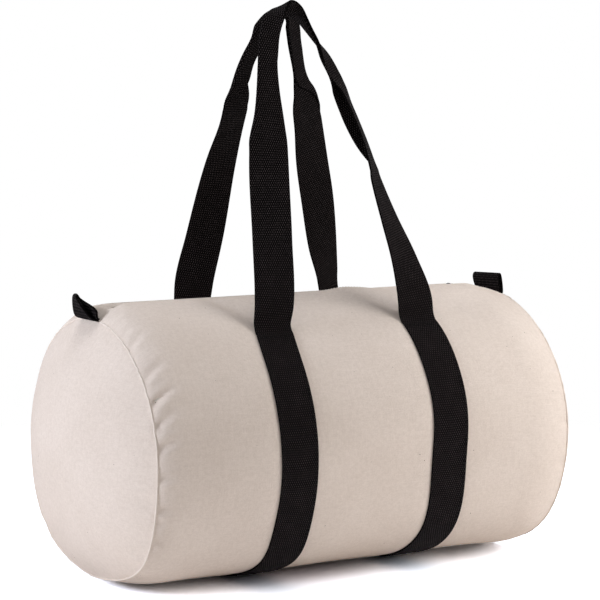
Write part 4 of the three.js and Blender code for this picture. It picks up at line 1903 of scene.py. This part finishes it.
@dataclass
class Mouth:
    """The two mouth lips, the zip's tapes and teeth, and the slider."""

    barrel: Barrel
    canvas: CanvasBody
    lip_steps: int = 14
    tuck: float = 0.0024
    tuck_angle: float = 2.6
    lip_smooth: float = 14
    stitch: Stitch = Stitch()
    stitch_depths: Pair = (0.0105, 0.0165)
    stitch_lift: float = 0.00005
    stitch_end: float = 0.001
    tape_steps: int = 6
    tape_cloth: float = 0.0007
    tape_edge: float = 0.0034
    tape_width: float = 0.018
    tape_inset: float = 0.0019
    chain_half: float = 0.172
    tooth_pitch: float = 0.004
    tooth_height: float = 0.0026
    tooth_reach: float = 0.0009
    tooth_half: float = 0.00165
    tooth_stagger: float = 0.25
    tooth_cuts: int = 3
    tooth_bevel: float = 0.0002
    tip_dip: float = 0.18
    neck_place: float = 0.62
    neck_length: float = 0.16
    neck_cut: float = 0.0007
    neck_dip: float = 0.22
    bead: float = 0.0033
    zip_height: float = 0.2573
    left_open: Pair = (0.125, 0.045)
    right_open: Pair = (0.172, 0.060)

    def stations(self, end: End) -> Array:
        """Places along half of the mouth, from the middle to one end.

        Args:
            end: Left or right half.

        Returns:
            The places, from the middle outwards.
        """
        every = self.canvas.stations()
        kept = every[(every * end.value >= -NEARLY) & (np.abs(every) <= self.barrel.mouth_half + NEARLY)]
        return kept if end is End.RIGHT else kept[::-1]

    def lip(self, face: Face, end: End) -> Piece:
        """Half of a mouth lip, with a first row that is tucked in under the barrel panel.

        Args:
            face: Front or rear lip.
            end: Left or right half.

        Returns:
            The half lip with its thickness.
        """
        barrel = self.barrel
        fold = barrel.angle_at(barrel.fold_depth)
        edge = barrel.angle_at(barrel.lip_edge)
        angles = np.append(fold - self.tuck_angle, np.linspace(fold, edge, self.lip_steps + 1))
        name = f"lip_{face.label}_{end.label}"
        layer = self.canvas.sheet(name, self.stations(end), face.angle(angles), self.tuck)
        thicken(layer, barrel.cloth, -1, self.lip_smooth)
        return layer

    def lip_stitches(self, face: Face, end: End) -> Piece:
        """Two rows of stitches along half of a lip, beside the zip.

        Args:
            face: Front or rear lip.
            end: Left or right half.

        Returns:
            Both rows as one piece.
        """
        barrel = self.barrel
        length = barrel.mouth_half - self.stitch_end
        rows = []
        for depth in self.stitch_depths:
            middle = barrel.angle_at(depth)

            def placing(along: Array, aside: Array, up: Array) -> Array:
                """Points of the row along the lip."""
                angle = middle - np.degrees(aside / barrel.radius)
                return barrel.point(end.value * along, face.angle(angle), up + self.stitch_lift)

            rows.append(stitch_row("lip_row", length, self.stitch, placing))
        return join(f"lip_stitches_{face.label}_{end.label}", rows)

    def tape(self, face: Face, end: End) -> Piece:
        """Half of one zip tape, under the lip and out to the teeth.

        Args:
            face: Front or rear tape.
            end: Left or right half.

        Returns:
            The half tape with its thickness.
        """
        barrel = self.barrel
        stations = self.stations(end)

        def form(across: Array, along: Array) -> Laid:
            """Lays the tape.

            Args:
                across: Shares across the cloth.
                along: Shares along it.

            Returns:
                The points and the cloth coordinates.
            """
            x = np.interp(along, np.linspace(0, 1, len(stations)), stations)
            depth = self.tape_edge + self.tape_width * across
            angle = np.degrees(np.arccos(depth / (barrel.width / 2)))
            return barrel.point(x, face.angle(angle), -self.tape_inset), np.column_stack([x, depth])

        name = f"zip_tape_{face.label}_{end.label}"
        layer = cloth_grid(name, self.tape_steps, len(stations) - 1, form)
        face_along(layer, barrel.outward)
        thicken(layer, self.tape_cloth, -1)
        return layer

    def teeth(self, face: Face, end: End) -> Piece:
        """Half of one row of teeth: one tooth is modelled and repeated along the tape.

        Args:
            face: Front or rear row.
            end: Left or right half.

        Returns:
            The teeth as one piece.
        """
        count = int((self.chain_half - self.tooth_pitch) / self.tooth_pitch)
        first = (0.5 + self.tooth_stagger * face.value * end.value) * self.tooth_pitch
        bpy.ops.object.select_all(action="DESELECT")
        bpy.ops.mesh.primitive_cube_add(size=1)
        piece = name_piece(f"zip_teeth_{face.label}_{end.label}")
        edit_mesh(piece, partial(bpy.ops.mesh.subdivide, number_cuts=self.tooth_cuts))
        cube = vertex_array(piece.data)
        reach = cube[:, 1] + 0.5
        neck = np.exp(-((reach - self.neck_place) / self.neck_length) ** 2)
        half = self.tooth_half - self.neck_cut * neck
        height = self.tooth_height * (1 - self.tip_dip * reach ** 4) * (1 - self.neck_dip * neck)
        span = self.bead + self.tooth_reach
        local = np.column_stack([cube[:, 0] * half, self.bead - reach * span, cube[:, 2] * height])
        set_vertices(piece.data, local)
        soften(piece, self.tooth_bevel, segments=1, degrees=50)
        repeat(piece, count, self.tooth_pitch)
        row = vertex_array(piece.data)
        mirrored = np.column_stack([end.value * (row[:, 0] + first), face.value * row[:, 1],
                                    row[:, 2] + self.zip_height])
        set_vertices(piece.data, mirrored)
        edit_mesh(piece, partial(bpy.ops.mesh.normals_make_consistent, inside=False))
        smooth(piece, degrees=35)
        return piece

    def open_with(self, piece: Piece) -> None:
        """Bakes the place of a piece of the lip or of its zip into its mesh.

        Args:
            piece: A piece of the lip or of its zip.
        """
        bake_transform(piece)

    def build(self, finishes: dict[Slot, Material], thread: Material, frame: dict) -> None:
        """Makes and dresses the mouth and zip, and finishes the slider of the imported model.

        Args:
            finishes: Materials by slot.
            thread: Material of the top stitching.
            frame: The loaded frame.
        """
        for face in Face:
            place = face.label
            for end in End:
                lip = dress(self.lip(face, end), finishes[Slot.CANVAS])
                rows = dress(self.lip_stitches(face, end), thread)
                tape = dress(self.tape(face, end), finishes[Slot.TAPE])
                teeth = dress(self.teeth(face, end), finishes[Slot.TEETH])
                for piece in (lip, rows, tape, teeth):
                    self.open_with(piece)
                    report(piece)
                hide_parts(f"{place}_mouth_lip")
                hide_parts(f"{place}_zip_tape")
                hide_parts(f"{place}_zip_teeth")
        for node in ("zip_slider", "zip_bridge", "zip_puller"):
            piece = frame["nodes"][node]
            piece.data.materials.clear()
            piece.data.materials.append(finishes[Slot.SLIDER])
            smooth(piece, degrees=30)


# Studio


@dataclass(frozen=True)
class Lamp:
    """A soft square lamp: its place, size and power, and what it points at."""

    name: str
    place: Triple
    target: Triple
    size: float
    power: float
    colour: Triple


@dataclass
class Studio:
    """White floor, soft lamps and the camera."""

    azimuth: float = -29.74
    elevation: float = 6.04
    distance: float = 2.46
    target: Triple = (-0.0003, 0, 0.2564)
    focal_pixels: float = 2555
    frame_pixels: float = 600
    sensor: float = 36
    ambient: float = 0.20
    ambient_colour: Colour = (1.0, 0.945, 0.885, 1)
    bounce_colour: Colour = (0.89, 0.866, 0.85, 1)
    bounce_glow: float = 0.13
    floor_colour: Colour = (2.9, 3.1, 3.4, 1)
    # Painted shadow: inside an ellipse round the bag, the floor that the camera sees darkens towards
    # shade_colour
    shade_colour: Colour = (1.45, 1.45, 1.62, 1)
    shade_middle: Pair = (-0.04, -0.02)
    shade_half: Pair = (0.14, 0.11)
    shade_core: float = 0.2
    footprint: Pair = (0.23, 0.07)
    footprint_fade: float = 1.8
    floor_size: float = 16
    fade: Pair = (0.42, 0.95)
    lamps: tuple[Lamp, ...] = (
        Lamp("end_lamp", place=(-1.38, 0, 0.56), target=(-0.24, 0, 0.13), size=0.36, power=8.9,
             colour=(0.97, 1.045, 1.19)),
        Lamp("front_lamp", place=(0.58, -0.53, 0.43), target=(0.2, -0.1, 0.14), size=0.5, power=3.4,
             colour=(1, 1.01, 1.03)),
        Lamp("top_lamp", place=(0, 0.15, 1.75), target=(0, 0, 0.2), size=1, power=10.6,
             colour=(0.97, 1.01, 1.08)),
    )

    def camera(self) -> None:
        """Sets the camera at the photograph's viewing angle."""
        around, above = math.radians(self.azimuth), math.radians(self.elevation)
        back = Vector((math.sin(around) * math.cos(above), -math.cos(around) * math.cos(above),
                       math.sin(above)))
        data = bpy.data.cameras.new("camera")
        data.sensor_width = self.sensor
        data.lens = self.focal_pixels / self.frame_pixels * self.sensor
        camera = bpy.data.objects.new("camera", data)
        bpy.context.collection.objects.link(camera)
        camera.location = Vector(self.target) + back * self.distance
        camera.rotation_mode = "QUATERNION"
        camera.rotation_quaternion = back.to_track_quat("Z", "Y")
        bpy.context.scene.camera = camera

    def lights(self) -> None:
        """Adds the lamps."""
        for lamp in self.lamps:
            data = bpy.data.lights.new(lamp.name, "AREA")
            data.size = lamp.size
            data.energy = lamp.power
            data.color = lamp.colour
            light = bpy.data.objects.new(lamp.name, data)
            bpy.context.collection.objects.link(light)
            light.location = lamp.place
            aim = Vector(lamp.target) - Vector(lamp.place)
            light.rotation_mode = "QUATERNION"
            light.rotation_quaternion = aim.to_track_quat("-Z", "Y")

    def seen_straight(self, bench: NodeBench) -> Socket:
        """1 for rays from the camera, a mirror or through glass, and 0 for the rest.

        Args:
            bench: The tree to work in.

        Returns:
            The socket of the choice.
        """
        paths = bench.add("LightPath", {}).outputs
        seen = paths["Is Camera Ray"]
        for name in ("Is Glossy Ray", "Is Transmission Ray"):
            seen = bench.math("MAXIMUM", seen, paths[name])
        return seen

    def world(self) -> None:
        """Even ambient light that looks white to the camera."""
        world = bpy.data.worlds.new("studio")
        bpy.context.scene.world = world
        bench = NodeBench(world)
        straight = self.seen_straight(bench)
        colour = bench.mix(straight, self.ambient_colour, WHITE)
        strength = bench.span(straight, 0, 1, self.ambient, 1)
        bench.show(bench.add("Background", {"Color": colour, "Strength": strength}))

    def reach(self, bench: NodeBench, places: tuple[Socket, ...], middle: Pair, half: Pair) -> Socket:
        """Distance from a middle in the plane, 1 on an ellipse of the given half sizes.

        Args:
            bench: The tree to work in.
            places: Sockets of X and Y.
            middle: X and Y of the middle.
            half: Half sizes of the ellipse along X and Y.

        Returns:
            The socket of the distance.
        """
        squares = []
        for place, start, size in zip(places, middle, half):
            share = bench.math("DIVIDE", bench.math("SUBTRACT", place, start), size)
            squares.append(bench.math("MULTIPLY", share, share))
        return bench.math("SQRT", bench.math("ADD", *squares))

    def floor(self) -> None:
        """A pale floor that keeps the bag's real shadow, adds a painted shadow round the bag for the
        camera, and fades to white away from the bag.
        """
        bpy.ops.object.select_all(action="DESELECT")
        bpy.ops.mesh.primitive_plane_add(size=self.floor_size)
        floor = name_piece("floor")
        bench = NodeBench(bpy.data.materials.new("floor"))
        straight = self.seen_straight(bench)
        along, aside, _ = bench.axes(bench.place())
        # Painted shadow: inside an ellipse round the bag the camera sees the floor darkened, on top of its
        # real shadow
        near = self.reach(bench, (along, aside), self.shade_middle, self.shade_half)
        clear = bench.span(near, self.shade_core, 1)
        shown = bench.mix(clear, self.shade_colour, self.floor_colour)
        diffuse = bench.add("BsdfDiffuse", {"Color": bench.mix(straight, self.bounce_colour, shown)})
        round_bag = self.reach(bench, (along, aside), (0, 0), self.footprint)
        beside = bench.span(round_bag, 1, self.footprint_fade)
        hidden = bench.span(straight, 0, 1, self.bounce_glow, 0)
        glow = bench.add("Emission", {"Strength": bench.math("MULTIPLY", beside, hidden)})
        lit = bench.add("AddShader", {0: diffuse.outputs[0], 1: glow.outputs[0]})
        white = bench.add("Emission", {})
        distance = bench.add("VectorMath", {0: bench.place()}, operation="LENGTH").outputs["Value"]
        far = bench.math("MULTIPLY", bench.span(distance, *self.fade), straight)
        bench.show(bench.add("MixShader", {0: far, 1: lit.outputs[0], 2: white.outputs[0]}))
        floor.data.materials.append(bench.owner)

    def build(self) -> None:
        """Sets the view, the lamps, the world and the floor."""
        bpy.context.scene.view_settings.view_transform = "Standard"
        self.camera()
        self.lights()
        self.world()
        self.floor()


def main() -> None:
    """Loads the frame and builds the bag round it."""
    logging.basicConfig(level=logging.INFO, format="%(message)s")
    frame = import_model()
    canvas = CanvasFinish().material()
    # A paler copy of the canvas paints a highlight on the seams' raised ridges
    ridge_highlight = CanvasFinish("seam_welt", pale=(0.92, 0.82, 0.74, 1), deep=(0.80, 0.69, 0.60, 1)).material()
    finishes = {
        Slot.CANVAS: canvas,
        Slot.WEBBING: WebbingFinish().material(),
        Slot.BINDING: TapeFinish("cotton_binding", dark=(0.70, 0.64, 0.55, 1), light=(0.82, 0.77, 0.69, 1),
                                 rib=0.0008).material(),
        Slot.TAPE: TapeFinish("zip_tape", dark=(0.009, 0.009, 0.010, 1), light=(0.032, 0.032, 0.034, 1),
                              rib=0.0009).material(),
        Slot.TEETH: HardFinish("zip_teeth", body=(0.010, 0.010, 0.011, 1), rubbed=(0.035, 0.035, 0.037, 1),
                               roughness=0.55, metal=0, gloss=0.12).material(),
        Slot.SLIDER: HardFinish("slider_enamel", body=(0.022, 0.022, 0.024, 1),
                                rubbed=(0.085, 0.085, 0.088, 1), roughness=0.36, metal=0.6,
                                gloss=0.4).material(),
    }
    black_thread = TapeFinish("black_thread", dark=(0.003, 0.0025, 0.0025, 1),
                              light=(0.012, 0.010, 0.010, 1), rib=0.0004).material()
    cotton_thread = TapeFinish("cotton_thread", dark=(0.72, 0.65, 0.56, 1), light=(0.86, 0.80, 0.72, 1),
                               rib=0.0004).material()
    barrel = Barrel()
    body = CanvasBody(barrel)
    Studio().build()
    body.build(canvas, ridge_highlight, finishes[Slot.BINDING])
    Webbing(barrel).build(finishes[Slot.WEBBING], black_thread)
    Mouth(barrel, body).build(finishes, cotton_thread, frame)


if __name__ == "__main__":
    main()
